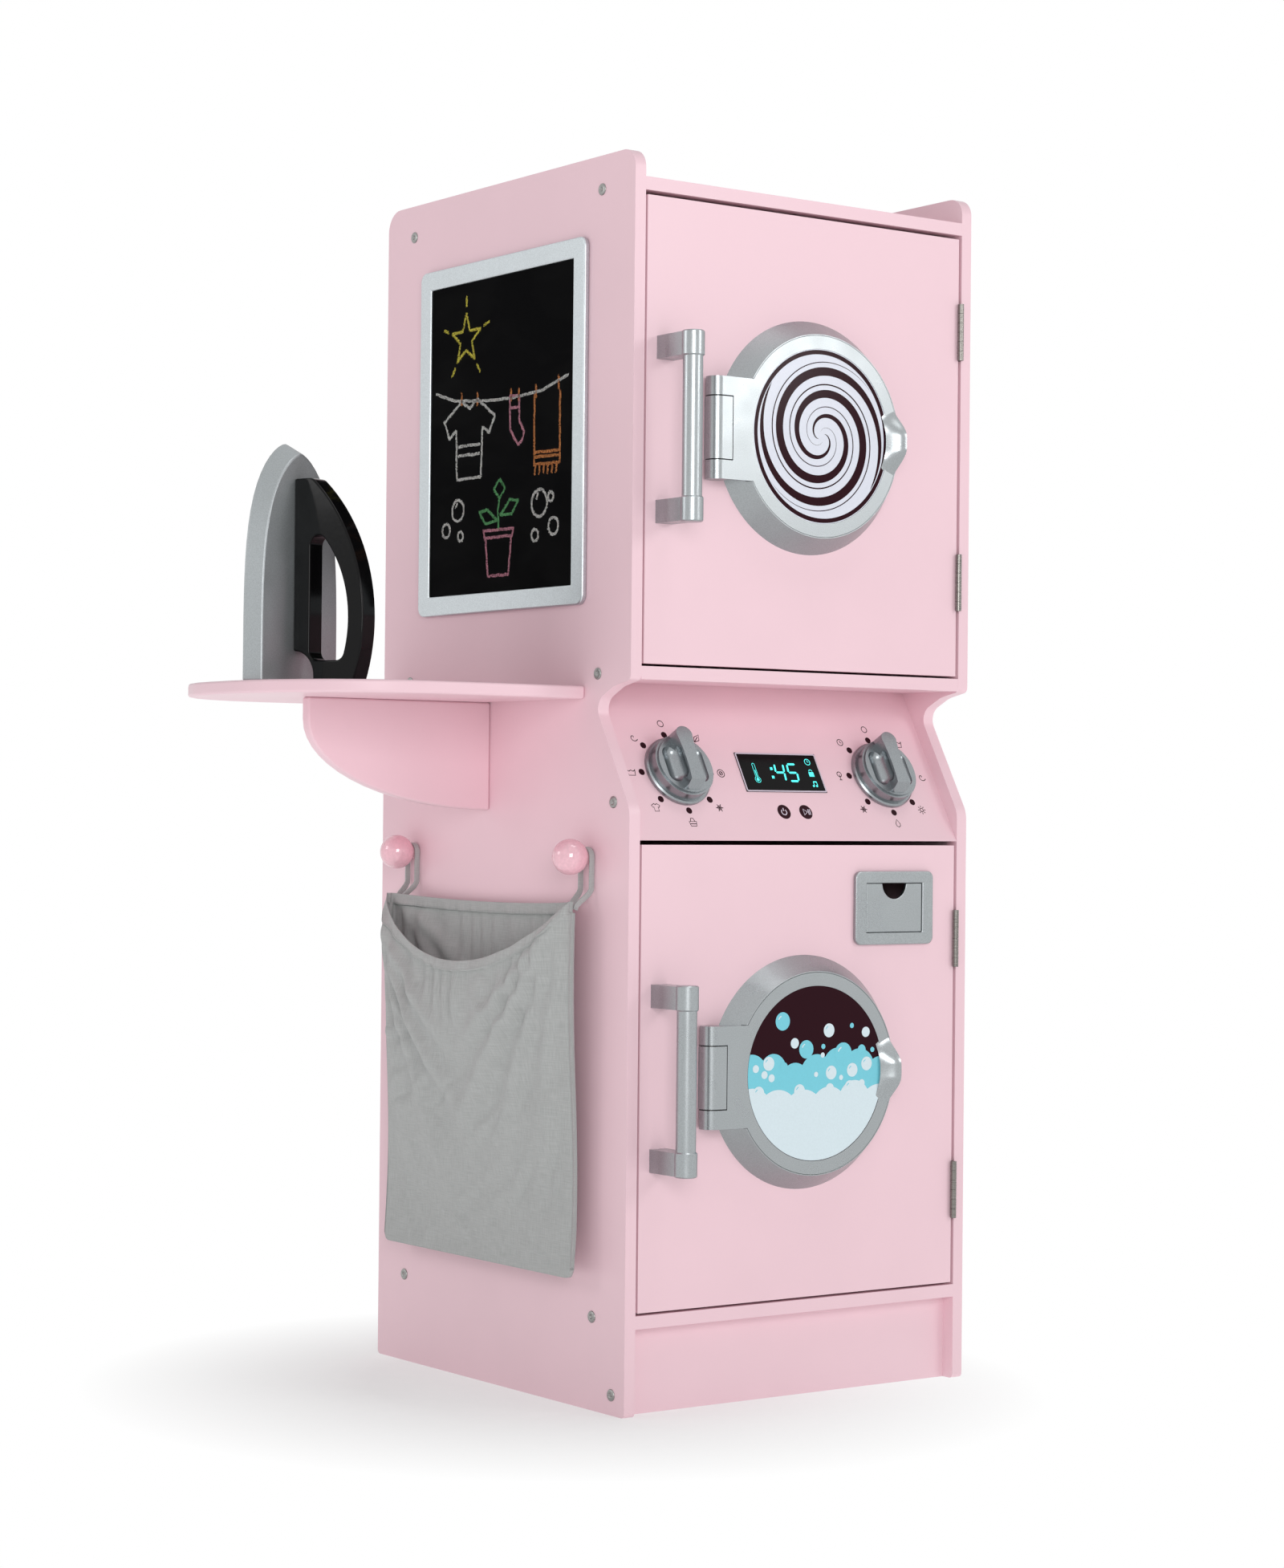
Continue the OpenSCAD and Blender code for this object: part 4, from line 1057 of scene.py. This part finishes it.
class LAUNDRY_OT_panel_prints(bpy.types.Operator):
    """Printed dots, icons and keys on the control panel, and the display"""

    bl_idname = "laundry.panel_prints"
    bl_label = "Panel prints and display"

    def execute(self, context):
        sizes = context.scene.laundry_sizes
        self.dots(sizes)
        self.icons(sizes)
        self.keys(sizes)
        self.display()
        return {"FINISHED"}

    def dots(self, sizes):
        """Eight dots round each knob, the first straight above it."""
        dot = bmesh.new()
        fill(dot, circle_points(sizes.dot, 24), INK)
        places = [(side * KNOB_X + x, KNOB_S + y, 0.0) for side in (-1, 1)
                  for x, y in circle_points(sizes.dot_ring, 8, start=math.pi / 2)]
        mesh = repeated(item_object("dot", dot), places, 0.0, 0, "panel_ink")
        mesh.transform(on_panel())
        piece_from("panel_dots", mesh, "cabinet", "printed_disc")

    def icons(self, sizes):
        """A small line icon outside each dot: washing tubs, drops, sun, leaf and the like."""
        signs = icon_lines()
        order = {-1: ("ring", "coil", "tub", "shirt", "basket", "flake", "drum", "leaf"),
                 1: ("ring", "clock", "tree", "flake", "drop", "sun", "coil", "tub")}
        shape = bmesh.new()
        for side, names in order.items():
            for i, name in enumerate(names):
                angle = math.pi / 2 + i * math.pi / 4
                x = side * KNOB_X + sizes.icon_ring * math.cos(angle)
                s = KNOB_S + sizes.icon_ring * math.sin(angle)
                for line, closed in signs[name]:
                    moved = [(x + px * sizes.icon, s + py * sizes.icon) for px, py in line]
                    stroke(shape, moved, sizes.icon_line, INK, closed)
        drawn("panel_icons", shape, on_panel(), ("panel_ink",), "cabinet", "printed_disc")

    def keys(self, sizes):
        """Two round keys under the display: power, and start or pause."""
        shape = bmesh.new()
        line, power, start = sizes.icon_line * 1.4, -10.6, 12.5
        for x in (power, start):
            fill(shape, circle_points(sizes.key, 48, x * MM, 27 * MM), INK)
        ring = circle_points(2.6 * MM, 22, power * MM, 26.8 * MM, math.radians(130), math.radians(280))
        for points in (ring, in_mm((power, 27.6), (power, 30.6)), in_mm((15.3, 24.4), (15.3, 29.6)),
                       in_mm((16.9, 24.4), (16.9, 29.6))):
            stroke(shape, points, line, 2 * INK, index=1)
        stroke(shape, in_mm((10.3, 24.2), (14.2, 27), (10.3, 29.8)), line, 2 * INK, True, 1)
        drawn("panel_keys", shape, on_panel(), ("panel_ink", "border"), "cabinet", "printed_disc")

    def display(self):
        """A black film with a thin pale border, and digits and small signs in an ink with a painted glow."""
        coat("display", "display_panel")
        place = on_panel(KNOB_S + 1.4 * MM, 0.8 * MM)
        border = bmesh.new()
        rim = 1.3 * MM
        stroke(border, rounded_rectangle(DISPLAY_W - rim, DISPLAY_H - rim, 1.2 * MM, 6), rim, INK, True)
        painted_glow_shapes = bmesh.new()
        # A 4 and a 5 by their shown segments, in the ink with a painted glow
        for x, digit in ((-1.0, "bcfg"), (12.5, "acdfg")):
            segments(painted_glow_shapes, digit, x * MM, 9 * MM, 16 * MM, 1.9 * MM)
        for middle in (-4.5, 3.5):
            corners = [(dx, middle + dy) for dx, dy in ((-1.3, -1.3), (1.3, -1.3), (1.3, 1.3), (-1.3, 1.3))]
            fill(painted_glow_shapes, in_mm(*[(x + SLANT * y, y) for x, y in corners], x=-9.5), INK)
        self.thermometer(painted_glow_shapes)
        self.signs(painted_glow_shapes)
        for name, shape, ink in (("display_border", border, "border"), ("display_digits", painted_glow_shapes, "glow")):
            drawn(name, shape, place, (ink,), "cabinet", "display_glass")

    def thermometer(self, shape):
        """A thermometer at the left of the display."""
        x = -27 * MM
        bulb = circle_points(2.8 * MM, 20, x, -7 * MM, math.radians(118), math.radians(304))
        stem = circle_points(1.3 * MM, 8, x, 7 * MM, 0.0, math.pi)
        stroke(shape, bulb + stem, 0.45 * MM, INK, True)
        fill(shape, circle_points(1.5 * MM, 20, x, -7 * MM), INK)
        stroke(shape, [(x, -6 * MM), (x, 2 * MM)], 0.7 * MM, 2 * INK)

    def signs(self, shape):
        """A clock, a padlock and a note at the right of the display."""
        x, line = 32, 0.6 * MM
        stroke(shape, circle_points(2.8 * MM, 24, x * MM, 10.5 * MM), line, INK, True)
        stroke(shape, in_mm((0, 12.2), (0, 10.5), (1.4, 10.5), x=x), line, INK)
        fill(shape, in_mm((-2.6, -3.4), (2.6, -3.4), (2.6, 0.8), (-2.6, 0.8), x=x), INK)
        stroke(shape, circle_points(1.7 * MM, 10, x * MM, 1.4 * MM, 0.0, math.pi), line, INK)
        for dx in (-1.8, 1.6):
            fill(shape, circle_points(1.0 * MM, 14, (x + dx) * MM, -12.4 * MM), INK)
            stroke(shape, in_mm((0.9, -12.4), (0.9, -8.2), x=x + dx), line, INK)
        stroke(shape, in_mm((-0.9, -8.4), (2.5, -8.4), x=x), 1.2 * MM, INK)


def segments(shape, names, x, width, height, bar):
    """A slanted digit of its shown segments, centred at a distance x along the display."""
    w, h, gap = width / 2, height / 2, bar * 0.18
    ends = {"a": ((-w, h), (w, h)), "b": ((w, h), (w, 0)), "c": ((w, 0), (w, -h)),
            "d": ((-w, -h), (w, -h)), "f": ((-w, h), (-w, 0)), "g": ((-w, 0), (w, 0))}
    for name in names:
        a, b = Vector(ends[name][0]), Vector(ends[name][1])
        way = (b - a).normalized()
        side = Vector((-way.y, way.x)) * bar / 2
        a, b = a + way * gap, b - way * gap
        outline = (a, a + way * bar / 2 - side, b - way * bar / 2 - side, b,
                   b - way * bar / 2 + side, a + way * bar / 2 + side)
        fill(shape, [(x + p.x + SLANT * p.y, p.y) for p in outline], INK)


def icon_lines():
    """Line icons in a square from -1 to 1, each a list of (points, closed)."""
    ring = [(circle_points(0.62, 20), True)]
    coil = [([(0.16 * a * math.cos(a), 0.16 * a * math.sin(a))
              for a in [i * 0.45 for i in range(14)]], False)]
    tub = [([(-0.9, 0.5), (-0.7, -0.7), (0.7, -0.7), (0.9, 0.5)], False),
           ([(-0.9, 0.35), (-0.45, 0.1), (0.0, 0.35), (0.45, 0.1), (0.9, 0.35)], False)]
    shirt = [([(-0.3, 0.7), (-0.9, 0.35), (-0.65, -0.05), (-0.45, 0.05), (-0.45, -0.8), (0.45, -0.8),
               (0.45, 0.05), (0.65, -0.05), (0.9, 0.35), (0.3, 0.7), (0.0, 0.5)], True)]
    basket = [([(-0.8, 0.1), (-0.6, -0.8), (0.6, -0.8), (0.8, 0.1)], True),
              ([(-0.5, 0.1), (-0.25, 0.75), (0.25, 0.75), (0.5, 0.1)], False),
              ([(-0.7, -0.35), (0.7, -0.35)], False)]
    flake = [([(math.cos(a) * -0.8, math.sin(a) * -0.8), (math.cos(a) * 0.8, math.sin(a) * 0.8)], False)
             for a in (0.0, math.pi / 3, 2 * math.pi / 3)] + \
            [([(math.cos(a) * 0.42, math.sin(a) * 0.42) for a in
               [k * math.pi / 3 + 0.5 for k in range(6)]], True)]
    drum = [(circle_points(0.75, 20), True), (circle_points(0.35, 14), True),
            ([(-0.25, -0.25), (0.25, 0.25)], False)]
    leaf = [([(-0.7, -0.7), (-0.5, 0.3), (0.7, 0.8), (0.45, -0.35), (-0.7, -0.7)], False),
            ([(-0.7, -0.7), (0.35, 0.4)], False)]
    clock = [(circle_points(0.65, 20), True), ([(0.0, 0.4), (0.0, 0.0), (0.3, -0.15)], False)]
    tree = [(circle_points(0.5, 16, 0.0, 0.25), True), ([(0.0, -0.9), (0.0, 0.2)], False),
            ([(-0.3, -0.9), (0.3, -0.9)], False)]
    drop = [([(0.0, 0.85), (0.5, 0.0), (0.45, -0.45), (0.0, -0.75), (-0.45, -0.45), (-0.5, 0.0)], True)]
    sun = [(circle_points(0.36, 16), True)] + \
          [([(0.55 * math.cos(a), 0.55 * math.sin(a)), (0.9 * math.cos(a), 0.9 * math.sin(a))], False)
           for a in [k * math.pi / 4 for k in range(8)]]
    return {"ring": ring, "coil": coil, "tub": tub, "shirt": shirt, "basket": basket, "flake": flake,
            "drum": drum, "leaf": leaf, "clock": clock, "tree": tree, "drop": drop, "sun": sun}


class LAUNDRY_OT_chalkboard(bpy.types.Operator):
    """Chalkboard with its silver frame and a chalk drawing"""

    bl_idname = "laundry.chalkboard"
    bl_label = "Chalkboard"

    def execute(self, context):
        sizes = context.scene.laundry_sizes
        # The frame's finish is silver paled as painted sheen
        eased(sizes.plastic_edge * 1.6, "frame_paint_painted_sheen", "silver_plastic", "chalkboard_frame")
        coat("blackboard", "chalkboard")
        low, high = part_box("chalkboard")
        centre = (low + high) / 2
        place = on_left_side(centre.y, centre.z, SIDE_X - low.x + 2 * INK)
        for number, (name, code, lines) in enumerate(chalk_drawing()):
            moved = [[(x * MM, y * MM, 0.0) for x, y in line] for line in lines]
            mesh = grown(chalk_tree, paths(moved), {
                "Step": 0.1 * MM, "Line width": sizes.chalk_line, "Grain": 0.42 * MM, "Seed": number,
                "Material": chalk("Chalk, " + name, srgb(code))})
            mesh.transform(place)
            piece_from("chalk_" + name, mesh, "cabinet", "blackboard")
        return {"FINISHED"}


def wobbly(points, rng, amount=0.7):
    """A hand-drawn line through points, in millimetres, with a small wobble every 4 mm."""
    made = []
    for a, b in zip(points, points[1:]):
        count = max(1, round(math.dist(a, b) / 4.0))
        for i in range(count):
            made.append([start + (end - start) * i / count + rng.uniform(-amount, amount) * 0.5
                         for start, end in zip(a, b)])
    return made + [points[-1]]


def chalk_drawing():
    """A washing line with clothes under a star, a potted plant and bubbles, by chalk colour."""
    rng = random.Random(5)

    def line(*points):
        return wobbly(points, rng)

    def ring(x, y, r):
        count = max(10, round(r * 2))
        return wobbly(circle_points(r, count, x, y, 0.4, 2 * math.pi * 0.999), rng, 0.5)

    star = [(r * math.sin(a) - 52, r * math.cos(a) + 84) for i in range(11)
            for r, a in [((22 if i % 2 == 0 else 9), i * math.pi / 5)]]
    rays = [line(*[(-52 + r * math.sin(a), 84 + r * math.cos(a)) for r in (28, 36)])
            for a in [math.pi / 5 * (2 * k) for k in range(5)]]
    shirt = line((-58, 32), (-84, 16), (-76, 2), (-66, 8), (-64, -34), (-28, -34), (-26, 8), (-16, 2),
                 (-8, 16), (-34, 32), (-46, 25), (-58, 32))
    sock = line((14, 30), (15, 2), (26, -12), (33, -8), (35, -1), (28, 8), (28, 29), (14, 30))
    towel = [line((50, 28), (50, -30), (86, -31), (86, 27)), line((50, -20), (86, -21)),
             line((50, -24), (86, -25))]
    fringe = [line((x, -31), (x - 1, -38)) for x in range(52, 88, 6)]
    rope = [line((-97, 42), (-70, 34), (-20, 29), (20, 28), (60, 30), (97, 39))]
    pegs = [line((x, y + 5), (x, y - 5))
            for x, y in ((-58, 34), (-34, 32), (16, 30), (27, 30), (52, 30), (84, 34))]
    pot = [line((-20, -86), (-16, -118), (14, -118), (18, -86), (-20, -86)), line((-23, -80), (21, -80)),
           line((-23, -80), (-21, -87)), line((21, -80), (19, -87))]
    stems = [line((-1, -80), (-2, -64), (0, -54)),
             line((-3, -72), (-18, -62), (-30, -64), (-20, -74), (-3, -72)),
             line((1, -68), (16, -56), (28, -58), (18, -68), (1, -68)),
             line((0, -54), (-8, -46), (0, -38), (8, -46), (0, -54))]
    bubbles = [ring(x, y, r) for x, y, r in ((58, -62, 11), (78, -82, 7), (52, -88, 5), (74, -58, 4),
                                              (-62, -60, 9), (-80, -76, 6), (-58, -82, 4))]
    shine = [line((54, -58), (56, -54)), line((-65, -57), (-63, -54))]
    return (
        ("yellow", "#e9dc5c", [wobbly(star, rng, 0.5), *rays]),
        ("white", "#e6e6e2", [shirt, line((-62, -6), (-30, -6)), line((-62, -14), (-30, -14)), *rope,
                              *bubbles, *shine]),
        ("pink", "#dd9aab", [sock, line((15, 20), (28, 19)), *pot]),
        ("orange", "#e0925a", [*towel, *fringe, *pegs]),
        ("green", "#6fb779", stems),
    )


class LAUNDRY_OT_iron(bpy.types.Operator):
    """Silver and black toy iron"""

    bl_idname = "laundry.iron"
    bl_label = "Iron"

    def execute(self, context):
        sizes = context.scene.laundry_sizes
        eased(sizes.iron_edge, "sole_paint", "silver_plastic", "iron_sole", steps=5)
        eased(sizes.handle_edge, "black_lacquer", "black_plastic", "iron_handle", steps=4)
        return {"FINISHED"}


def cloth_mesh(shape, layer, flat):
    """A smooth cotton mesh from a bmesh, whose weave follows the flat place of each vertex."""
    for face in shape.faces:
        for loop in face.loops:
            loop[layer].uv = flat[loop.vert]
    bmesh.ops.recalc_face_normals(shape, faces=shape.faces)
    return mesh_from("cloth", shape, "cotton", smooth=True)


class LAUNDRY_OT_bag(bpy.types.Operator):
    """Grey cotton laundry bag on its two pegs"""

    bl_idname = "laundry.bag"
    bl_label = "Laundry bag"

    # Inner radius of a strap that hangs on a peg's neck
    neck_r = 6.6 * MM
    # Keeps the hem off the balls when the bag is lifted as far as it goes
    lift_gap = 1.4 * MM

    def execute(self, context):
        coat("peg_lacquer", "bag_pegs")
        self.bag = context.scene.laundry_bag
        self.low, self.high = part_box("laundry_bag")
        self.creases = self.seeded_creases()
        cloth = self.shell()
        loops = self.loops(context.scene.laundry_sizes)
        stitches = self.stitches(context.scene.laundry_sizes)
        return {"FINISHED"}

    def seeded_creases(self):
        """Small creases: (across, down, angle, length, width, height) in shares of the sheet."""
        rng = random.Random(self.bag.seed)
        return [(rng.uniform(0.06, 0.94), rng.uniform(0.12, 0.96), rng.uniform(-1.1, 1.1),
                 rng.uniform(0.05, 0.15), rng.uniform(0.008, 0.022), rng.uniform(-0.24, 0.3))
                for _ in range(60)]

    def hem_height(self, across, front):
        """Height of the upper edge at a share across the bag."""
        bow = 1 - (2 * across - 1) ** 2
        sag = self.bag.front_sag if front else self.bag.back_sag
        return self.high.z - self.lift_gap - sag * bow ** 0.85

    def foot_height(self, across):
        """Height of the lower edge, raised in a round at both corners."""
        width = self.high.y - self.low.y
        short = max(0.0, self.bag.corner - min(across, 1 - across) * width)
        return self.low.z + self.bag.corner - math.sqrt(self.bag.corner ** 2 - short ** 2)

    def drag_folds(self, across, down):
        """Folds that fan out from both upper corners and meet below the bag's middle."""
        width, height = self.high.y - self.low.y, self.high.z - self.low.z
        push = 0.0
        for x in (across * width, (1 - across) * width):
            y = down * height
            # Angle, reach in metres and height of each fold
            for angle, reach, tall in ((35, 0.17, 0.8), (50, 0.24, 1.0), (66, 0.26, 0.7), (81, 0.25, 0.5)):
                turn = math.radians(angle)
                along = (x * math.cos(turn) + y * math.sin(turn)) / reach
                off = y * math.cos(turn) - x * math.sin(turn) + 0.02 * along * (1 - along)
                if 0 < along < 1:
                    broad = (5.0 + 9.0 * along) * MM
                    push += tall * math.sin(math.pi * along ** 0.75) * math.exp(-(off / broad) ** 2)
        return push

    def folds(self, across, down, front):
        """Outward push of the drag folds, pleats and creases at a place on the sheet."""
        push = self.drag_folds(across, down)
        # Short pleats hang from the gathered hem
        gather = math.exp(-(down / 0.2) ** 2)
        push += 0.3 * gather * min(1.0, down / 0.07) * math.sin(across * 82 + 2.6 * math.sin(across * 15))
        if front:
            for x, y, angle, long, wide, height in self.creases:
                dx, dy = across - x, (down - y) * 1.1
                run = dx * math.sin(angle) + dy * math.cos(angle)
                off = dx * math.cos(angle) - dy * math.sin(angle)
                push += height * math.exp(-(run / long) ** 2 - (off / wide) ** 2)
            push += 0.45 * noise.noise(Vector((across * 4.0, down * 4.0, 3.1)))
            push += 0.16 * noise.noise(Vector((across * 17.0, down * 13.0, 8.4)))
        return push * self.bag.fold_depth

    def sheet_out(self, across, down, front):
        """How far a sheet lies from the side panel."""
        bow = max(0.0, 1 - (2 * across - 1) ** 2)
        closing = 1 - min(1.0, (1 - down) / 0.12)
        damp = min(1.0, across / 0.04, (1 - across) / 0.04, (1 - down) / 0.05)
        seam = self.bag.seam_out + (2.5 * MM) * math.sin(2 * math.pi * down)
        if not front:
            back = seam + (self.bag.back_out - seam) * bow ** 0.45
            return back + (seam - back) * closing ** 2 + 0.6 * self.folds(across, down, False) * damp
        mouth = self.bag.mouth * math.exp(-(down / 0.32) ** 1.5)
        belly = self.bag.belly * math.sin(math.pi * down ** 0.8)
        bulge = bow ** 0.8 * (mouth + belly) * (1 - closing ** 2)
        return seam + 4.0 * MM + bulge + self.folds(across, down, True) * damp

    def place(self, across, depth, share, front):
        """A point of the bag's outer surface: down a depth from the hem, then a share of the rest."""
        top, foot = self.hem_height(across, front), self.foot_height(across)
        down = depth / (top - foot)
        down += (1 - down) * share
        z = top + (foot - top) * down
        width = self.high.y - self.low.y + self.bag.wider * down
        y = (self.low.y + self.high.y) / 2 + (0.5 - across) * width
        folded = self.bag.hem_rise * min(1.0, max(0.0, (self.bag.hem - (top - z)) / (0.4 * MM)))
        return Vector((SIDE_X - self.sheet_out(across, down, front) - folded, y, z))

    def levels(self):
        """(depth, share) of each row: close rows over the hem, wider ones below it."""
        close, wide, ends = 24, 116, self.bag.hem + 3 * MM
        return [(ends * j / close, 0.0) for j in range(close)] + [(ends, j / wide) for j in range(wide + 1)]

    def shell(self):
        """Front and back sheets as one lofted tube, closed along its bottom seam."""
        columns, side = 110, 3
        ring = [(i / columns, True, 0.0) for i in range(columns + 1)]
        ring += [(1.0, None, (k + 1) / (side + 1)) for k in range(side)]
        ring += [(1 - i / columns, False, 0.0) for i in range(columns + 1)]
        ring += [(0.0, None, 1 - (k + 1) / (side + 1)) for k in range(side)]
        shape = bmesh.new()
        layer = shape.loops.layers.uv.new("cloth")
        grid, flat = [], {}
        for depth, share in self.levels():
            line = []
            for across, front, turn in ring:
                if front is None:
                    a, b = (self.place(across, depth, share, sheet) for sheet in (True, False))
                    point = a.lerp(b, turn)
                    point.y += 1.6 * MM * math.sin(math.pi * turn) * (1 if across > 0.5 else -1)
                else:
                    point = self.place(across, depth, share, front)
                vert = shape.verts.new(point)
                flat[vert] = (point.y if front is not None else point.y + point.x, point.z)
                line.append(vert)
            grid.append(line)
        tube(shape, grid)
        last, half = grid[-1], columns + 1 + side
        for i in range(columns):
            shape.faces.new((last[i], last[half + columns - i], last[half + columns - i - 1], last[i + 1]))
        shape.faces.new(last[columns:half + 1])
        shape.faces.new([*last[half + columns:], last[0]])
        made = coated(thickened(cloth_mesh(shape, layer, flat), self.bag.cloth), "cotton")
        return piece_from("laundry_bag_cloth", made, "bag", "grey_cotton", "laundry_bag")

    def stitches(self, sizes):
        """Stitches along the hems of both sheets."""
        shape = bmesh.new()
        bmesh.ops.create_uvsphere(shape, u_segments=6, v_segments=4, radius=0.5)
        shape.transform(Matrix.Diagonal((sizes.stitch * 0.72, 0.45 * MM, 0.35 * MM, 1.0)))
        item = item_object("stitch", shape)
        lines = []
        for front in (True, False):
            line = []
            for i in range(90):
                point = self.place(0.01 + 0.98 * i / 89, self.bag.hem - 1.6 * MM, 0.0, front)
                point.x -= 0.1 * MM + (0.0 if front else self.bag.cloth)
                line.append(tuple(point))
            lines.append(line)
        mesh = grown(stitch_tree, paths(lines), {
            "Item": item, "Step": sizes.stitch, "Material": finish("thread")})
        return piece_from("bag_stitches", mesh, "bag", "grey_cotton")

    def loops(self, sizes):
        """A flat strap over each peg's neck, its ends sewn into the bag's corners."""
        made = joined("bag_straps", [self.loop(sizes, box) for box in solids_of("bag_loops")])
        return piece_from("bag_straps", made, "bag", "grey_cotton", "bag_loops")

    def loop_path(self, box, thick):
        """Points of one strap: up from the bag's corner, round the peg's neck and down again."""
        low, high = box
        centre_y = (low.y + high.y) / 2
        radius = self.neck_r + thick / 2
        neck_z = high.z - (high.y - low.y) / 2
        neck_out = SIDE_X - (low.x + high.x) / 2
        foot_z, bend_z = low.z - 8 * MM, low.z + 9 * MM
        legs = []
        for sign in (1, -1):
            leg = []
            for i in range(14):
                z = foot_z + (neck_z - 0.6 * MM - foot_z) * i / 13
                lean = max(0.0, (bend_z - z) / (bend_z - foot_z))
                ease = lean * lean * (3 - 2 * lean)
                out = neck_out + (self.bag.seam_out - 1.5 * MM - neck_out) * ease
                leg.append(Vector((SIDE_X - out, centre_y + sign * (radius - 3.6 * MM * ease), z)))
            legs.append(leg)
        arc = [Vector((SIDE_X - neck_out, centre_y + y, neck_z + z))
               for y, z in circle_points(radius, 19, sweep=math.pi)]
        return legs[0] + arc + legs[1][::-1]

    def loop(self, sizes, box):
        """One flat strap, its width across the peg's neck."""
        thick, soft = 1.5 * MM, 0.45 * MM
        line = self.loop_path(box, thick)
        section = rounded_rectangle(sizes.strap, thick, soft, 3)
        shape = bmesh.new()
        layer = shape.loops.layers.uv.new("cloth")
        flat, rings, run = {}, [], 0.0
        for i, point in enumerate(line):
            ahead, behind = line[min(i + 1, len(line) - 1)], line[max(i - 1, 0)]
            way = (ahead - behind).normalized()
            wide = (Vector((-1, 0, 0)) + way * way.x).normalized()
            thin = way.cross(wide)
            run += (point - behind).length
            ring = []
            for w, t in section:
                vert = shape.verts.new(point + wide * w + thin * t)
                flat[vert] = (w + t, run)
                ring.append(vert)
            rings.append(ring)
        tube(shape, rings)
        shape.faces.new(rings[0])
        shape.faces.new(rings[-1])
        return cloth_mesh(shape, layer, flat)


class LAUNDRY_PT_panel(bpy.types.Panel):
    """Lists the steps that build the laundry centre"""

    bl_idname = "LAUNDRY_PT_panel"
    bl_label = "Toy laundry centre"
    bl_space_type = "VIEW_3D"
    bl_region_type = "UI"
    bl_category = "Laundry"

    def draw(self, context):
        for step in STEPS:
            self.layout.operator(step.bl_idname)
        for group in ("laundry_sizes", "laundry_bag", "laundry_colours"):
            settings = getattr(context.scene, group)
            box = self.layout.box()
            for name in settings.__annotations__:
                box.prop(settings, name)


STEPS = (
    LAUNDRY_OT_studio, LAUNDRY_OT_boards, LAUNDRY_OT_screws, LAUNDRY_OT_hinges, LAUNDRY_OT_handles,
    LAUNDRY_OT_portholes, LAUNDRY_OT_drawer, LAUNDRY_OT_knobs, LAUNDRY_OT_panel_prints,
    LAUNDRY_OT_chalkboard, LAUNDRY_OT_iron, LAUNDRY_OT_bag,
)
GROUPS = {"laundry_colours": LaundryColours, "laundry_sizes": LaundrySizes, "laundry_bag": LaundryBag}


def register():
    for made in (*GROUPS.values(), *STEPS, LAUNDRY_PT_panel):
        bpy.utils.register_class(made)
    for name, group in GROUPS.items():
        setattr(bpy.types.Scene, name, bpy.props.PointerProperty(type=group))


def unregister():
    for name in GROUPS:
        delattr(bpy.types.Scene, name)
    for made in (LAUNDRY_PT_panel, *reversed(STEPS), *reversed(GROUPS.values())):
        bpy.utils.unregister_class(made)


def main():
    """Runs every step in order."""
    register()
    for step in STEPS:
        group, name = step.bl_idname.split(".")
        getattr(getattr(bpy.ops, group), name)()


if __name__ == "__main__":
    main()
